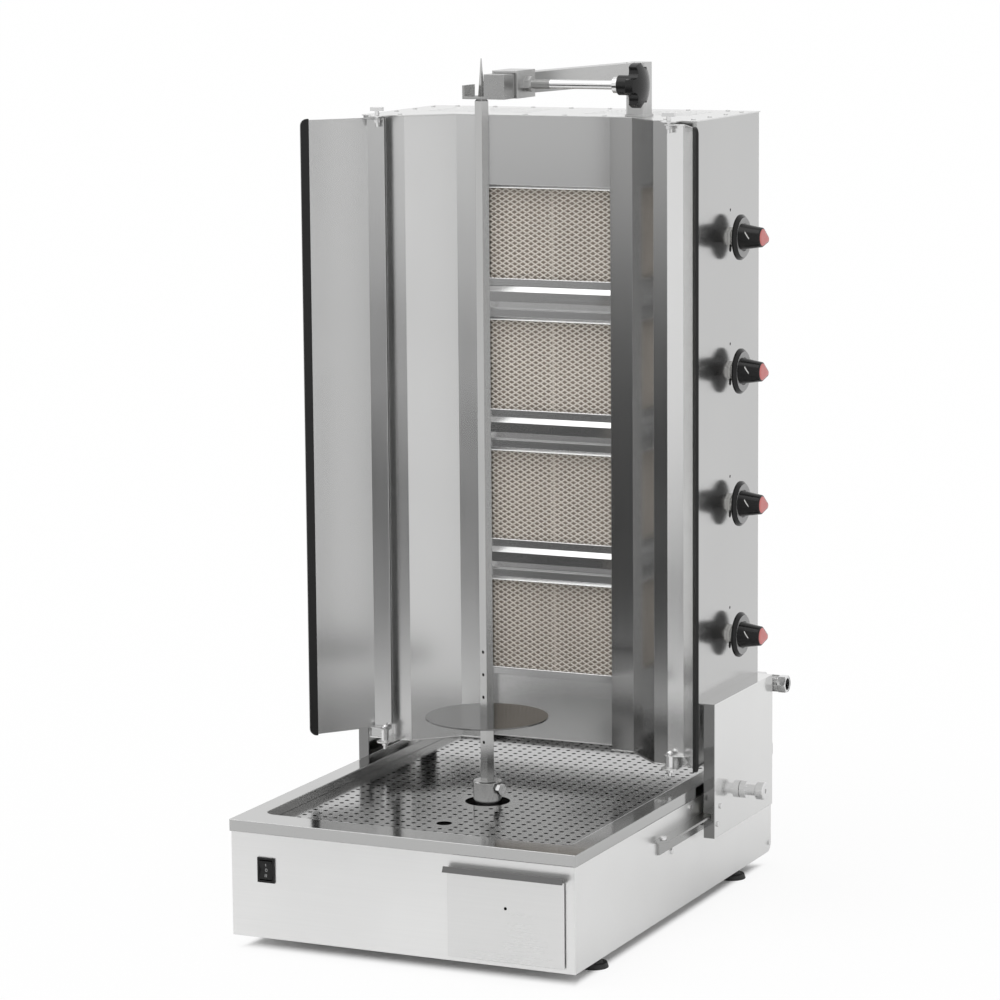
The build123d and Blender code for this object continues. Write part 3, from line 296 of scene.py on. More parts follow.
# Deck: one pressed sheet with a down-turned skirt and a sunk well for the plate.
# Its rim is brushed along the grill and handled smooth.
deck_steel = steel("deck_steel", (0.46, 0.46, 0.456), 0.10, (200, 10, 200),
                   depth=0.006, cloud=0.02, edge=0.0022)
dress(deck_steel, "top_deck")

# Perforated plate: sheet punched with 6 mm holes in straight rows, with a hub hole
# and a finger hole. It lies loose on the ledge of the well.
plate_low, plate_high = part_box("perforated_plate")
hole_across = 0.0060
hole_pitch = np.array([0.01466, 0.0150])
plate_corner = 0.015
plate_margin = 0.006
spit_y = next(j for j in frame["joints"] if j["name"] == "spit_spin")["pos_m"][1]
hub_hole, finger_hole, finger_share = 0.029, 0.010, 0.6
finger_y = spit_y - finger_share * (spit_y - plate_low.y)
round_holes = [((0.0, spit_y), hub_hole), ((0.0, finger_y), finger_hole)]
hole_room, rim_search = 0.001, 0.026


def weld_flat(triangles):
    """Points and faces of a flat triangle soup, with corners that share a place made one."""
    corners = np.round(triangles.reshape(-1, 2), 7)
    points, where = np.unique(corners, axis=0, return_inverse=True)
    faces = where.reshape(-1, 3)
    kept = (faces[:, 0] != faces[:, 1]) & (faces[:, 1] != faces[:, 2]) & (faces[:, 0] != faces[:, 2])
    return points, faces[kept]


def open_edges(faces):
    """Edges that only one face uses, in that face's direction."""
    edges = faces[:, [0, 1, 1, 2, 2, 0]].reshape(-1, 2)
    ends = np.sort(edges, axis=1)
    _, where, count = np.unique(ends, axis=0, return_inverse=True, return_counts=True)
    return edges[count[where.ravel()] == 1]


def punched_sheet(low, high):
    """Flat sheet as triangles. The field is a grid of oblong cells, each a ring of faces between twelve
    points of its border and a twelve-sided hole; rims join it to the outline and to the two round holes."""
    middle = np.array([(low.x + high.x) / 2, (low.y + high.y) / 2])
    half = np.array([(high.x - low.x) / 2, (high.y - low.y) / 2])
    count = ((half - plate_margin) / hole_pitch).astype(int)
    along, up = (np.arange(-n, n) + 0.5 for n in count)
    i, j = np.meshgrid(along, up, indexing="ij")
    centres = np.stack([i, j], -1).reshape(-1, 2) * hole_pitch + middle
    clear = np.full(len(centres), True)
    for spot, radius in round_holes:
        apart = np.maximum(abs(centres - np.array(spot)) - hole_pitch / 2, 0)
        clear &= np.hypot(apart[:, 0], apart[:, 1]) > radius + hole_room
    third, one = np.array([-1, -1 / 3, 1 / 3]), np.ones(3)
    sides = [(one, third), (-third, one), (-one, -third), (third, -one)]
    border = np.concatenate([np.stack(side, -1) for side in sides]) * hole_pitch / 2
    turn = np.radians(30 * np.arange(12) - 45)
    circle = hole_across / 2 * np.stack([np.cos(turn), np.sin(turn)], -1)
    here, after = np.arange(12), np.roll(np.arange(12), -1)
    ring = np.concatenate([np.stack([here, after, after + 12], -1),
                           np.stack([here, after + 12, here + 12], -1)])
    field = (centres[clear][:, None, None, :] + np.vstack([border, circle])[ring][None]).reshape(-1, 3, 2)
    points, faces = weld_flat(field)
    loose = open_edges(faces)
    # every open edge of the field's outline or beside a round hole gets a strip to its smooth curve
    edge = count * hole_pitch
    mid_edge = points[loose].mean(1)
    outer = (abs(abs(mid_edge - middle) - edge) < 1e-5).any(1)
    cell = (points - middle) / hole_pitch
    straight = (abs(cell - np.round(cell)) < 1e-3).any(1)[loose].all(1) & ~outer
    strips = [rim(points[loose[outer]], lambda p: to_outline(p, middle, half, edge))]
    for spot, radius in round_holes:
        hub = np.array(spot)
        near = straight & (np.linalg.norm(mid_edge - hub, axis=1) < radius + rim_search)
        strips.append(rim(points[loose[near]], lambda p: hub + (p - hub) * radius
                          / np.linalg.norm(p - hub, axis=-1, keepdims=True)))
    return weld_flat(np.concatenate([points[faces], *strips]))


def rim(edges, moved):
    """Two triangles from each open edge to the same edge moved onto a smooth curve."""
    a, b = edges[:, 0], edges[:, 1]
    far_a, far_b = moved(a), moved(b)
    return np.concatenate([np.stack([b, a, far_a], 1), np.stack([b, far_a, far_b], 1)])


def to_outline(p, middle, half, edge):
    """Point of the field's border scaled out to the plate's outline, and onto the arc at its corners."""
    q = (p - middle) * half / np.array(edge)
    inside = half - plate_corner
    over = np.maximum(abs(q) - inside, 0)
    length = np.linalg.norm(over, axis=-1, keepdims=True)
    cornered = (over > 0).all(-1, keepdims=True)
    arc = np.sign(q) * (inside + over * plate_corner / np.maximum(length, 1e-9))
    return middle + np.where(cornered, arc, q)


def thick(points, faces, bottom, height):
    """Flat sheet given a thickness: a lid, a turned-over underside and a wall along each open edge."""
    count = len(points)
    lid = np.column_stack([points, np.full(count, bottom + height)])
    under = np.column_stack([points, np.full(count, bottom)])
    a, b = open_edges(faces).T
    wall = np.concatenate([np.stack([b, a, a + count], 1), np.stack([b, a + count, b + count], 1)])
    return np.vstack([lid, under]), np.vstack([faces, faces[:, ::-1] + count, wall])


def piece(name, points, faces, body, slot, material, smooth=True):
    """New piece from whole arrays of points and faces, riding on a body."""
    mesh = bpy.data.meshes.new(name)
    mesh.from_pydata(np.asarray(points).tolist(), [], np.asarray(faces).tolist())
    mesh.polygons.foreach_set("use_smooth", np.full(len(mesh.polygons), smooth))
    mesh.update()
    made = bpy.data.objects.new(name, mesh)
    scene.collection.objects.link(made)
    mesh.materials.append(material)
    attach(made, body)
    return made


def stain(metal, colour, mask):
    """Mix another tone into a sheet's colour. The mask is a socket of its tree, 1 where the tone is full."""
    tree = metal.node_tree
    shader = tree.nodes["Principled BSDF"]
    mix = tree.nodes.new("ShaderNodeMix")
    mix.data_type = "RGBA"
    mix.inputs["B"].default_value = (*colour, 1)
    tree.links.new(mask, mix.inputs["Factor"])
    tree.links.new(shader.inputs["Base Color"].links[0].from_socket, mix.inputs["A"])
    tree.links.new(mix.outputs["Result"], shader.inputs["Base Color"])


plate_steel = steel("plate_steel", (0.36, 0.36, 0.357), 0.13, (200, 14, 200),
                    depth=0.008, cloud=0.05, edge=0.0003)
plate_shape = thick(*punched_sheet(plate_low, plate_high), plate_low.z, plate_high.z - plate_low.z)
plate = piece("punched_plate", *plate_shape, "base", "plate_steel", plate_steel, smooth=False)
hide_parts("perforated_plate")
# The upright walls of the holes are drawn near black: painted shade inside the holes.
facing = np.empty(3 * len(plate.data.polygons))
plate.data.polygons.foreach_get("normal", facing)
upright = abs(facing.reshape(-1, 3)[:, 2]) < 0.5
punched = plate.data.attributes.new("punched", "FLOAT", "FACE")
punched.data.foreach_set("value", upright.astype(np.float32))
hole_wall_shade = plate_steel.node_tree.nodes.new("ShaderNodeAttribute")
hole_wall_shade.attribute_name = "punched"
stain(plate_steel, (0.035, 0.034, 0.032), hole_wall_shade.outputs["Fac"])

# Inner parts: drip pan, motor bracket and drawer runners of satin sheet, drawn very dark as painted shade,
# and a motor and burner housings of grey cast alloy. They are hardly seen from outside.
inner_steel = steel("inner_steel", (0.10, 0.098, 0.095), 0.45, (60, 60, 200))
cast = moulded("cast_alloy", (0.36, 0.36, 0.36), 0.55, 260, 0.5, (0.46, 0.46, 0.45))
cast.node_tree.nodes["Principled BSDF"].inputs["Metallic"].default_value = 0.8
dress(inner_steel, "drip_pan", "motor_bracket", "drawer_runners")
dress(cast, "gearmotor", "burner_housings")

# Rocker switch: black moulded housing and rocker, snapped into the front wall.
# The rocker carries printed pale marks: a bar, a ring and two bars. The cable gland at the
# back is of the same plastic.
switch_plastic = moulded("switch_plastic", (0.006, 0.006, 0.006), 0.34, 700, 0.2, (0.010, 0.010, 0.010),
                         shine=0.25)
dress(switch_plastic, "switch_housing", "switch_rocker", "cable_gland")
white_print = moulded("white_print", (0.78, 0.78, 0.76), 0.5, 900, 0.1, (0.84, 0.84, 0.82))
worn_print = moulded("worn_print", (0.26, 0.26, 0.26), 0.5, 900, 0.1, (0.34, 0.34, 0.34))


def grid_faces(rows, columns, wrap=False):
    """Four-cornered faces of a grid of points in row order; wrap joins the last column to the first."""
    i = np.arange(rows - 1)[:, None]
    j = np.arange(columns if wrap else columns - 1)[None, :]
    k = (j + 1) % columns
    here, below = i * columns, (i + 1) * columns
    return np.stack([here + j, here + k, below + k, below + j], -1).reshape(-1, 4)


rocker_low, rocker_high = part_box("switch_rocker")
rocker_x = (rocker_low.x + rocker_high.x) / 2
rocker_z = (rocker_low.z + rocker_high.z) / 2
rocker_hollow, rocker_fall, rocker_half, print_rise = 0.0022, 0.0032, 0.013, 0.00012


def rocker_face(x, z):
    """Point on the rocker's shallow V face: it is deepest in the middle and rises evenly to both ends."""
    depth = np.maximum(rocker_hollow - rocker_fall * abs(z) / rocker_half, 0.0)
    return np.stack([rocker_x + x, rocker_low.y + depth - print_rise, rocker_z + z], -1)


def bar_mark(x, z, wide, high):
    """Upright bar printed on the rocker, as a fine grid that follows its face."""
    across, up = np.linspace(-wide / 2, wide / 2, 3), np.linspace(-high / 2, high / 2, 7)
    u, v = np.meshgrid(across, up, indexing="xy")
    return rocker_face(x + u, z + v).reshape(-1, 3), grid_faces(7, 3)


def ring_mark(z, outer, inner):
    """Oval ring printed on the rocker: two radii swept round a full turn."""
    turn = np.linspace(0, 2 * np.pi, 25)[:-1]
    radius = np.array([outer, inner])[:, None]
    points = rocker_face(0.8 * radius * np.cos(turn), z + radius * np.sin(turn))
    return points.reshape(-1, 3), grid_faces(2, 24, True)


mark_rise, mark_wide, mark_high, mark_apart = 0.0068, 0.0009, 0.0036, 0.001
switch_marks = [bar_mark(0, mark_rise, mark_wide, mark_high), ring_mark(0.0, 0.0021, 0.0013),
                bar_mark(-mark_apart, -mark_rise, mark_wide, mark_high),
                bar_mark(mark_apart, -mark_rise, mark_wide, mark_high)]
offsets = np.cumsum([0] + [len(p) for p, _ in switch_marks])
piece("switch_marks", np.vstack([p for p, _ in switch_marks]),
      np.vstack([f + o for (_, f), o in zip(switch_marks, offsets)]), "rocker", "switch_black", worn_print)

# Grease drawer: folded steel front with a hooked lip and a welded box behind it.
# The front is brushed like the wall round it, the lip is painted dark as a painted reflection, and a small hole is
# punched below it, lined with painted shade.
drawer_steel = steel("drawer_steel", (0.72, 0.72, 0.715), 0.28, (7, 500, 500), depth=0.02)
dress(drawer_steel, "drawer")
drawer_low, drawer_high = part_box("drawer")
lip_height, lip_reach, eye_drop, eye_radius = 0.007, 0.011, 0.040, 0.00195
lip_line = drawer_high.z - lip_height


def along_axis(metal, axis):
    """Socket of one axis of the place on the part, in a material's tree."""
    tree = metal.node_tree
    axes = tree.nodes.new("ShaderNodeSeparateXYZ")
    tree.links.new(tree.nodes["Texture Coordinate"].outputs["Object"], axes.inputs[0])
    return axes.outputs[axis]


# Above the lip line the colour is painted dark: a painted reflection.
lip_painted_reflection = maths(drawer_steel.node_tree, "GREATER_THAN", along_axis(drawer_steel, "Z"), lip_line)
stain(drawer_steel, (0.125, 0.125, 0.124), lip_painted_reflection)


def eye_lining():
    """Painted shade inside the small hole in the front: a short near-black tube closed by a disc, as rings of a
    circle.
    """
    turn = np.linspace(0, 2 * np.pi, 25)[:-1]
    radius = eye_radius * np.array([1.0, 1.0, 0.5, 0.01])[:, None]
    depth = np.array([0.0001, 0.0014, 0.0014, 0.0014])[:, None]
    x = (drawer_low.x + drawer_high.x) / 2 + radius * np.cos(turn)
    y = drawer_low.y + lip_reach + depth + 0 * turn
    z = lip_line - eye_drop + radius * np.sin(turn)
    return np.stack([x, y, z], -1).reshape(-1, 3), grid_faces(4, 24, True)


# Near-black matt lining for the hole: painted shade.
hole_shade = moulded("hole_shade", (0.008, 0.008, 0.008), 0.9, 300, 0.1, (0.014, 0.014, 0.014), shine=0.1)
piece("drawer_eye", *eye_lining(), "drawer", "base_steel", hole_shade)

# Spit: turned hub on the motor shaft, square drawn bar with a ground point, a cross pin
# and the round plate that carries the meat.
turned = steel("turned_steel", (0.55, 0.55, 0.545), 0.20, (200, 200, 900))
drawn = steel("drawn_steel", (0.46, 0.46, 0.456), 0.17, (400, 400, 12))
disc_steel = steel("disc_steel", (0.16, 0.16, 0.158), 0.14, (250, 250, 30), cloud=0.10)
bolt_steel = steel("bolt_steel", (0.72, 0.72, 0.72), 0.20, (400, 400, 400), depth=0.05)
dress(turned, "drive_hub", "output_shaft")
dress(drawn, "skewer", "disc_pin")
dress(disc_steel, "meat_disc")
dress(bolt_steel, "hub_clamp_screw")

# Side rails and covers: drawn angle bars bolted to the base, and folded covers with nylon slide
# blocks that carry the tower on them. The front fold of each cover is painted darker, as painted shade.
rail_steel = steel("rail_steel", (0.36, 0.36, 0.356), 0.22, (300, 10, 300))
cover_steel = steel("cover_steel", (0.71, 0.71, 0.705), 0.13, (300, 300, 8), depth=0.01)
nylon = moulded("slider_nylon", (0.72, 0.72, 0.68), 0.5, 300, 0.3, (0.80, 0.80, 0.76))
dress(rail_steel, "slide_rails")
dress(cover_steel, "side_cover_right", "side_cover_left")
fold_depth = 0.0017
cover_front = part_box("side_cover_right")[0].y + fold_depth
# The front fold is painted darker: painted shade.
fold_painted_shade = maths(cover_steel.node_tree, "LESS_THAN", along_axis(cover_steel, "Y"), cover_front)
stain(cover_steel, (0.22, 0.22, 0.218), fold_painted_shade)
dress(nylon, "slide_blocks")
dress(bolt_steel, "tower_clamp_screw")

# Tower cabinet: bright annealed sheet, folded, with the brushing upright on the walls
# and from side to side on the top.
tower_steel = steel("tower_steel", (0.50, 0.50, 0.497), 0.19, (300, 300, 7), depth=0.012, cloud=0.03)
top_steel = steel("top_steel", (0.68, 0.68, 0.675), 0.24, (8, 700, 700))
dress(tower_steel, "side_panel_right", "side_panel_left", "back_panel")
dress(top_steel, "top_plate", "bottom_plate")

# Reflectors and doors: thin bright sheet, folded. The doors hang on bolts and have
# a black edging pushed over the free lip.
upright_grain = (250, 250, 6)
bright_wing = steel("bright_wing", (0.61, 0.61, 0.607), 0.24, upright_grain, depth=0.012, cloud=0.05)
# The right reflector is the same sheet as the left, drawn darker: painted shade.
tinted_wing = steel("tinted_wing", (0.35, 0.35, 0.347), 0.17, upright_grain, depth=0.012, cloud=0.05)
frame_steel = steel("frame_steel", (0.50, 0.50, 0.498), 0.20, (8, 300, 300), depth=0.012)
ledge_steel = steel("ledge_steel", (0.60, 0.60, 0.597), 0.15, (8, 300, 300), depth=0.01)
# The two doors are the same sheet; the left is drawn darker than the right, as painted shade.
left_door_steel = steel("left_door_steel", (0.56, 0.56, 0.558), 0.24, upright_grain, depth=0.012, cloud=0.05)
right_door_steel = steel("right_door_steel", (0.72, 0.72, 0.717), 0.20, upright_grain,
                         depth=0.012, cloud=0.05)
edging = moulded("black_edging", (0.006, 0.006, 0.006), 0.45, 500, 0.2, (0.011, 0.011, 0.011), shine=0.3)
dress(bright_wing, "reflector_left", "burner_panel")
dress(tinted_wing, "reflector_right")
dress(frame_steel, "burner_frames")
dress(ledge_steel, "separator_ledges")
dress(left_door_steel, "door_left")
dress(right_door_steel, "door_right")
dress(edging, "door_edge_right", "door_edge_left")
dress(bolt_steel, "hinge_bolts")

# Ceramic plaques: pale pressed ceramic, two in each burner, full of fine flame holes
# in close rows, drawn as dark spots of painted shade. They are a little scorched in places.
ceramic = bpy.data.materials.new("ceramic")
ceramic.use_nodes = True
tree = ceramic.node_tree
link = tree.links.new
shader = tree.nodes["Principled BSDF"]
shader.inputs["Roughness"].default_value = 0.9
place = tree.nodes.new("ShaderNodeTexCoord")
flame_holes = tree.nodes.new("ShaderNodeTexVoronoi")
flame_holes.inputs["Scale"].default_value = 420.0
flame_holes.inputs["Randomness"].default_value = 0.15
# Dark spots at the cell centres: painted shade of the flame holes.
hole_spot_shade = tree.nodes.new("ShaderNodeMapRange")
hole_spot_shade.inputs["From Min"].default_value = 0.22
hole_spot_shade.inputs["From Max"].default_value = 0.34
scorch = tree.nodes.new("ShaderNodeTexNoise")
scorch.inputs["Scale"].default_value = 14.0
clay = tree.nodes.new("ShaderNodeMix")
clay.data_type = "RGBA"
clay.inputs["A"].default_value = (0.36, 0.315, 0.265, 1)
clay.inputs["B"].default_value = (0.50, 0.445, 0.38, 1)
clay_and_hole_shade = tree.nodes.new("ShaderNodeMix")
clay_and_hole_shade.data_type = "RGBA"
clay_and_hole_shade.inputs["A"].default_value = (0.14, 0.11, 0.085, 1)
link(place.outputs["Object"], flame_holes.inputs["Vector"])
link(place.outputs["Object"], scorch.inputs["Vector"])
link(flame_holes.outputs["Distance"], hole_spot_shade.inputs["Value"])
link(scorch.outputs["Fac"], clay.inputs["Factor"])
link(hole_spot_shade.outputs["Result"], clay_and_hole_shade.inputs["Factor"])
link(clay.outputs["Result"], clay_and_hole_shade.inputs["B"])
link(clay_and_hole_shade.outputs["Result"], shader.inputs["Base Color"])
dress(ceramic, "ceramic_plaques")

# Wire screens: heat-proof wire woven on the slant over each burner, held by its frame.
# The wire is scaled and pale from the heat.
wire_wide, wire_deep, wire_pitch, wire_slant = 0.00105, 0.0005, 0.0059, np.radians(30.0)
screen_low, screen_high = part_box("burner_screens")
knob_turns = [j for j in frame["joints"] if j["name"].startswith("knob") and j["name"].endswith("_turn")]
burner_heights = [j["pos_m"][2] for j in knob_turns]
burner_span = burner_heights[0] - burner_heights[-1]
screen_half_x = (screen_high.x - screen_low.x) / 2
screen_half_z = (screen_high.z - screen_low.z - burner_span) / 2
screen_y = (screen_low.y + screen_high.y) / 2


def woven_wires(slant, side):
    """One family of parallel wires, cut to the screen's box. Along a wire its centre waves to and fro as a
    cosine, so that it passes over and under the other family, and a four-sided section follows it."""
    run = np.array([np.cos(slant), np.sin(slant)])
    across = np.array([-np.sin(slant), np.cos(slant)])
    reach = abs(across[0]) * screen_half_x + abs(across[1]) * screen_half_z
    lines = np.arange(-int(reach / wire_pitch), int(reach / wire_pitch) + 1) * wire_pitch
    limit = np.array([screen_half_x, screen_half_z])
    ends = (limit[None] - np.sign(run) * lines[:, None] * across) / abs(run)
    starts = (-limit[None] - np.sign(run) * lines[:, None] * across) / abs(run)
    start, end = starts.max(1), ends.min(1)
    kept = end - start > 2 * wire_pitch
    lines, start, end = lines[kept], start[kept], end[kept]
    steps = 60
    t = np.linspace(0, 1, steps)[None, :]
    s = start[:, None] + (end - start)[:, None] * t
    crossing = wire_pitch / np.sin(2 * abs(slant))
    wave = side * wire_deep * np.cos(np.pi * (s / crossing + np.round(lines / wire_pitch)[:, None]))
    middle = s[..., None] * run + lines[:, None, None] * across
    corner = np.radians([0, 90, 180, 270])
    x = middle[..., None, 0] + wire_wide * np.cos(corner) * across[0]
    z = middle[..., None, 1] + wire_wide * np.cos(corner) * across[1]
    y = screen_y + wave[..., None] + wire_deep * np.sin(corner)
    points = np.stack([x, y, z], -1).reshape(-1, 3)
    one = grid_faces(steps, 4, True)
    caps = np.array([[3, 2, 1, 0], [4 * steps - 4, 4 * steps - 3, 4 * steps - 2, 4 * steps - 1]])
    one = np.vstack([one, caps])
    faces = (one[None] + (np.arange(len(lines)) * steps * 4)[:, None, None]).reshape(-1, 4)
    return points, faces


wire = steel("screen_wire", (0.84, 0.79, 0.73), 0.45, (300, 300, 300), depth=0.1, cloud=0.12, edge=0.0001)
wire.node_tree.nodes["Principled BSDF"].inputs["Metallic"].default_value = 0.35
one_way, other_way = woven_wires(wire_slant, 1), woven_wires(-wire_slant, -1)
screen_points = np.vstack([one_way[0], other_way[0]])
screen_faces = np.vstack([one_way[1], other_way[1] + len(one_way[0])])
for number, height in enumerate(burner_heights, start=1):
    screen = piece(f"wire_screen_{number}", screen_points + (0, 0, height), screen_faces,
                   "tower", "mesh_steel", wire)
    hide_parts("burner_screens")

# Trim of the burners: the opening in each frame has a rolled edge, its steel drawn paler than the frame's as a
# painted highlight, and a strip of pale fibre fills the upright joint between the two plaques.
hem_steel = steel("hem_steel", (0.80, 0.80, 0.795), 0.18, (200, 200, 200), depth=0.01, edge=0.0001)
joint_fibre = moulded("joint_fibre", (0.66, 0.61, 0.54), 0.85, 700, 0.4, (0.76, 0.71, 0.64))
frame_nose, hem_radius, hem_corner = 0.0035, 0.0008, 0.002
nose_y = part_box("burner_frames")[0].y
plaque_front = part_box("ceramic_plaques")[0].y
opening_half = np.array([0.088, 0.060])
step_drop, step_run = 0.003, 0.002
joint_half, joint_reach, joint_rise, joint_sink = 0.0016, 0.062, 0.0006, 0.0001


def opening_hem(height):
    """Rolled edge round one opening: a circle carried along a rectangle with round corners, which steps
    forward along its upper side to run on the nose of the frame."""
    turn = np.radians(np.concatenate([quarter + np.linspace(0, 90, 6) for quarter in (0, 90, 180, 270)]))
    outward = np.stack([np.cos(turn), np.sin(turn)], -1)
    signs = np.repeat(np.array([[1, 1], [-1, 1], [-1, -1], [1, -1]]), 6, axis=0)
    corners = signs * (opening_half - hem_corner) + hem_corner * outward
    step = np.linspace(0, 1, 9)[:-1, None]
    follow, next_out = np.roll(corners, -1, axis=0), np.roll(outward, -1, axis=0)
    path = (corners[:, None] * (1 - step) + follow[:, None] * step).reshape(-1, 2)
    normal = (outward[:, None] * (1 - step) + next_out[:, None] * step).reshape(-1, 2)
    normal /= np.linalg.norm(normal, axis=1, keepdims=True)
    ahead = np.clip((path[:, 1] - opening_half[1] + step_drop) / step_run, 0, 1)
    y = nose_y + frame_nose * (1 - ahead)
    section = np.radians(45 * np.arange(8))
    x = path[:, 0:1] + hem_radius * np.cos(section) * normal[:, 0:1]
    z = path[:, 1:2] + hem_radius * np.cos(section) * normal[:, 1:2] + height
    y = y[:, None] + hem_radius * np.sin(section)
    faces = grid_faces(len(path), 8, True)
    last = 8 * (len(path) - 1) + np.arange(8)
    seam = np.stack([last, np.roll(last, -1), np.roll(np.arange(8), -1), np.arange(8)], -1)
    return np.stack([x, y, z], -1).reshape(-1, 3), np.vstack([faces, seam])


def joint_strip(height):
    """Low rounded strip over the joint: its height is a half circle across, carried up the plaque."""
    across, up = np.meshgrid(np.linspace(-1, 1, 7), np.linspace(-joint_reach, joint_reach, 9), indexing="xy")
    y = plaque_front - joint_rise * np.sqrt(np.maximum(1 - across ** 2, 0)) + joint_sink
    return np.stack([joint_half * across, y, height + up], -1).reshape(-1, 3), grid_faces(9, 7)


for number, height in enumerate(burner_heights, start=1):
    piece(f"opening_hem_{number}", *opening_hem(height), "tower", "reflector_steel", hem_steel)
    piece(f"plaque_joint_{number}", *joint_strip(height), "tower", "ceramic", joint_fibre)

# Gas train: plated brass valves on a plated pipe, and the inlet behind the right side,
# with a ribbed coupling and a hexagon.
brass = steel("plated_brass", (0.58, 0.575, 0.56), 0.18, (300, 300, 300))
pipe_plate = steel("plated_pipe", (0.60, 0.60, 0.585), 0.30, (200, 200, 30), depth=0.1)
dress(brass, "gas_valves", "knob_plunger_1", "knob_plunger_2", "knob_plunger_3", "knob_plunger_4")
dress(pipe_plate, "gas_manifold")
dress(bolt_steel, "gas_inlet")
inlet_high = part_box("gas_inlet")[1]
inlet = next(m for m in frame["record"]["mounts"] if m["name"] == "gas_inlet")
inlet_radius = inlet["dims"]["r_mm"] / 1000
sleeve_turn = np.linspace(0, 2 * np.pi, 97)[:-1]
coupling_steel = steel("coupling_steel", (0.30, 0.30, 0.297), 0.25, (300, 300, 300))


def turned_sleeve(places, radii):
    """Sleeve round the inlet: one ring for each place along X, and each ring has its own radius by turn."""
    radius = np.stack([np.broadcast_to(r, sleeve_turn.shape) for r in radii])
    x = inlet_high.x + np.array(places)[:, None] + 0 * radius
    y = inlet["pos_m"][1] + radius * np.cos(sleeve_turn)
    z = inlet["pos_m"][2] + radius * np.sin(sleeve_turn)
    return np.stack([x, y, z], -1).reshape(-1, 3), grid_faces(len(places), len(sleeve_turn), True)[:, ::-1]


sleeve_skin, ribs, rib_height = 0.0003, 24, 0.0005
hexagon_skin, chamfer_skin = 0.0002, 0.0009
sunk = inlet_radius - sleeve_skin
ribbed = inlet_radius + sleeve_skin + rib_height * np.cos(ribs * sleeve_turn)
six_sided = (inlet_radius + hexagon_skin) / np.cos(np.mod(sleeve_turn, np.pi / 3) - np.pi / 6)
round_end = np.minimum(six_sided, inlet_radius + chamfer_skin)
piece("inlet_coupling", *turned_sleeve([-0.027, -0.0265, -0.0125, -0.012], [sunk, ribbed, ribbed, sunk]),
      "tower", "bolt_steel", coupling_steel)
piece("inlet_hexagon", *turned_sleeve([-0.0118, -0.0112, -0.0106, -0.001, 0.0002, 0.0003],
                                      [sunk, round_end, six_sided, six_sided, round_end, sunk]),
      "tower", "bolt_steel", bolt_steel, smooth=False)

# Burner knobs: black moulded flange and grip, pushed on the valve spindle. A red
# pointer is let into the end of the grip, a grey ring is drawn on the flange and a pale
# stroke on the grip, and a small black oval dome in the panel below each spindle is painted shade of a hole.
knob_plastic = moulded("knob_plastic", (0.004, 0.004, 0.004), 0.20, 400, 0.05, (0.007, 0.007, 0.007),
                       shine=0.28)
knob_red = moulded("knob_red", (0.52, 0.11, 0.11), 0.30, 500, 0.05, (0.60, 0.17, 0.16))
dial_print = moulded("dial_print", (0.26, 0.26, 0.26), 0.32, 500, 0.05, (0.34, 0.34, 0.34))
dress(knob_plastic, "knob_1", "knob_2", "knob_3", "knob_4")
grip_tilt = np.radians(-12.0)
grip_length, grip_taper = 0.028, 0.26
large_round, small_round, large_place, small_place = 12.6, 4.4, -5.9, 13.7


def teardrop(inset):
    """Outline, from sizes in mm, round two circles, a large one behind and a small one ahead: each direction
    touches the circle that reaches further that way."""
    turn = np.linspace(-np.pi, np.pi, 49)[:-1]
    small = abs(turn) < np.arccos((large_round - small_round) / (small_place - large_place))
    centre = np.where(small, small_place, large_place)
    radius = np.where(small, small_round, large_round) - inset
    return np.stack([centre + radius * np.cos(turn), radius * np.sin(turn)], -1) / 1000


def knob_plane(flat, x, height):
    """Flat shape on a knob turned with its grip and set at a distance along X."""
    y = flat[..., 0] * np.cos(grip_tilt) - flat[..., 1] * np.sin(grip_tilt)
    z = flat[..., 0] * np.sin(grip_tilt) + flat[..., 1] * np.cos(grip_tilt)
    return np.stack([np.broadcast_to(x, y.shape), knob_y + y, height + z], -1)


def spindle_hole_shade(height):
    """Painted shade of a hole in the panel below a spindle: a black oval dome, as rings of an ellipse that draw in
    as they rise.
    """
    turn = np.linspace(0, 2 * np.pi, 25)[:-1]
    share = np.array([1.0, 0.85, 0.5, 0.02])[:, None]
    rise = np.array([-0.0002, 0.0006, 0.0010, 0.0011])[:, None]
    x = panel_face + rise + 0 * turn
    y = knob_y + shade_half_wide * share * np.cos(turn)
    z = height - shade_drop + shade_half_high * share * np.sin(turn)
    return np.stack([x, y, z], -1).reshape(-1, 3), grid_faces(4, 24, True)


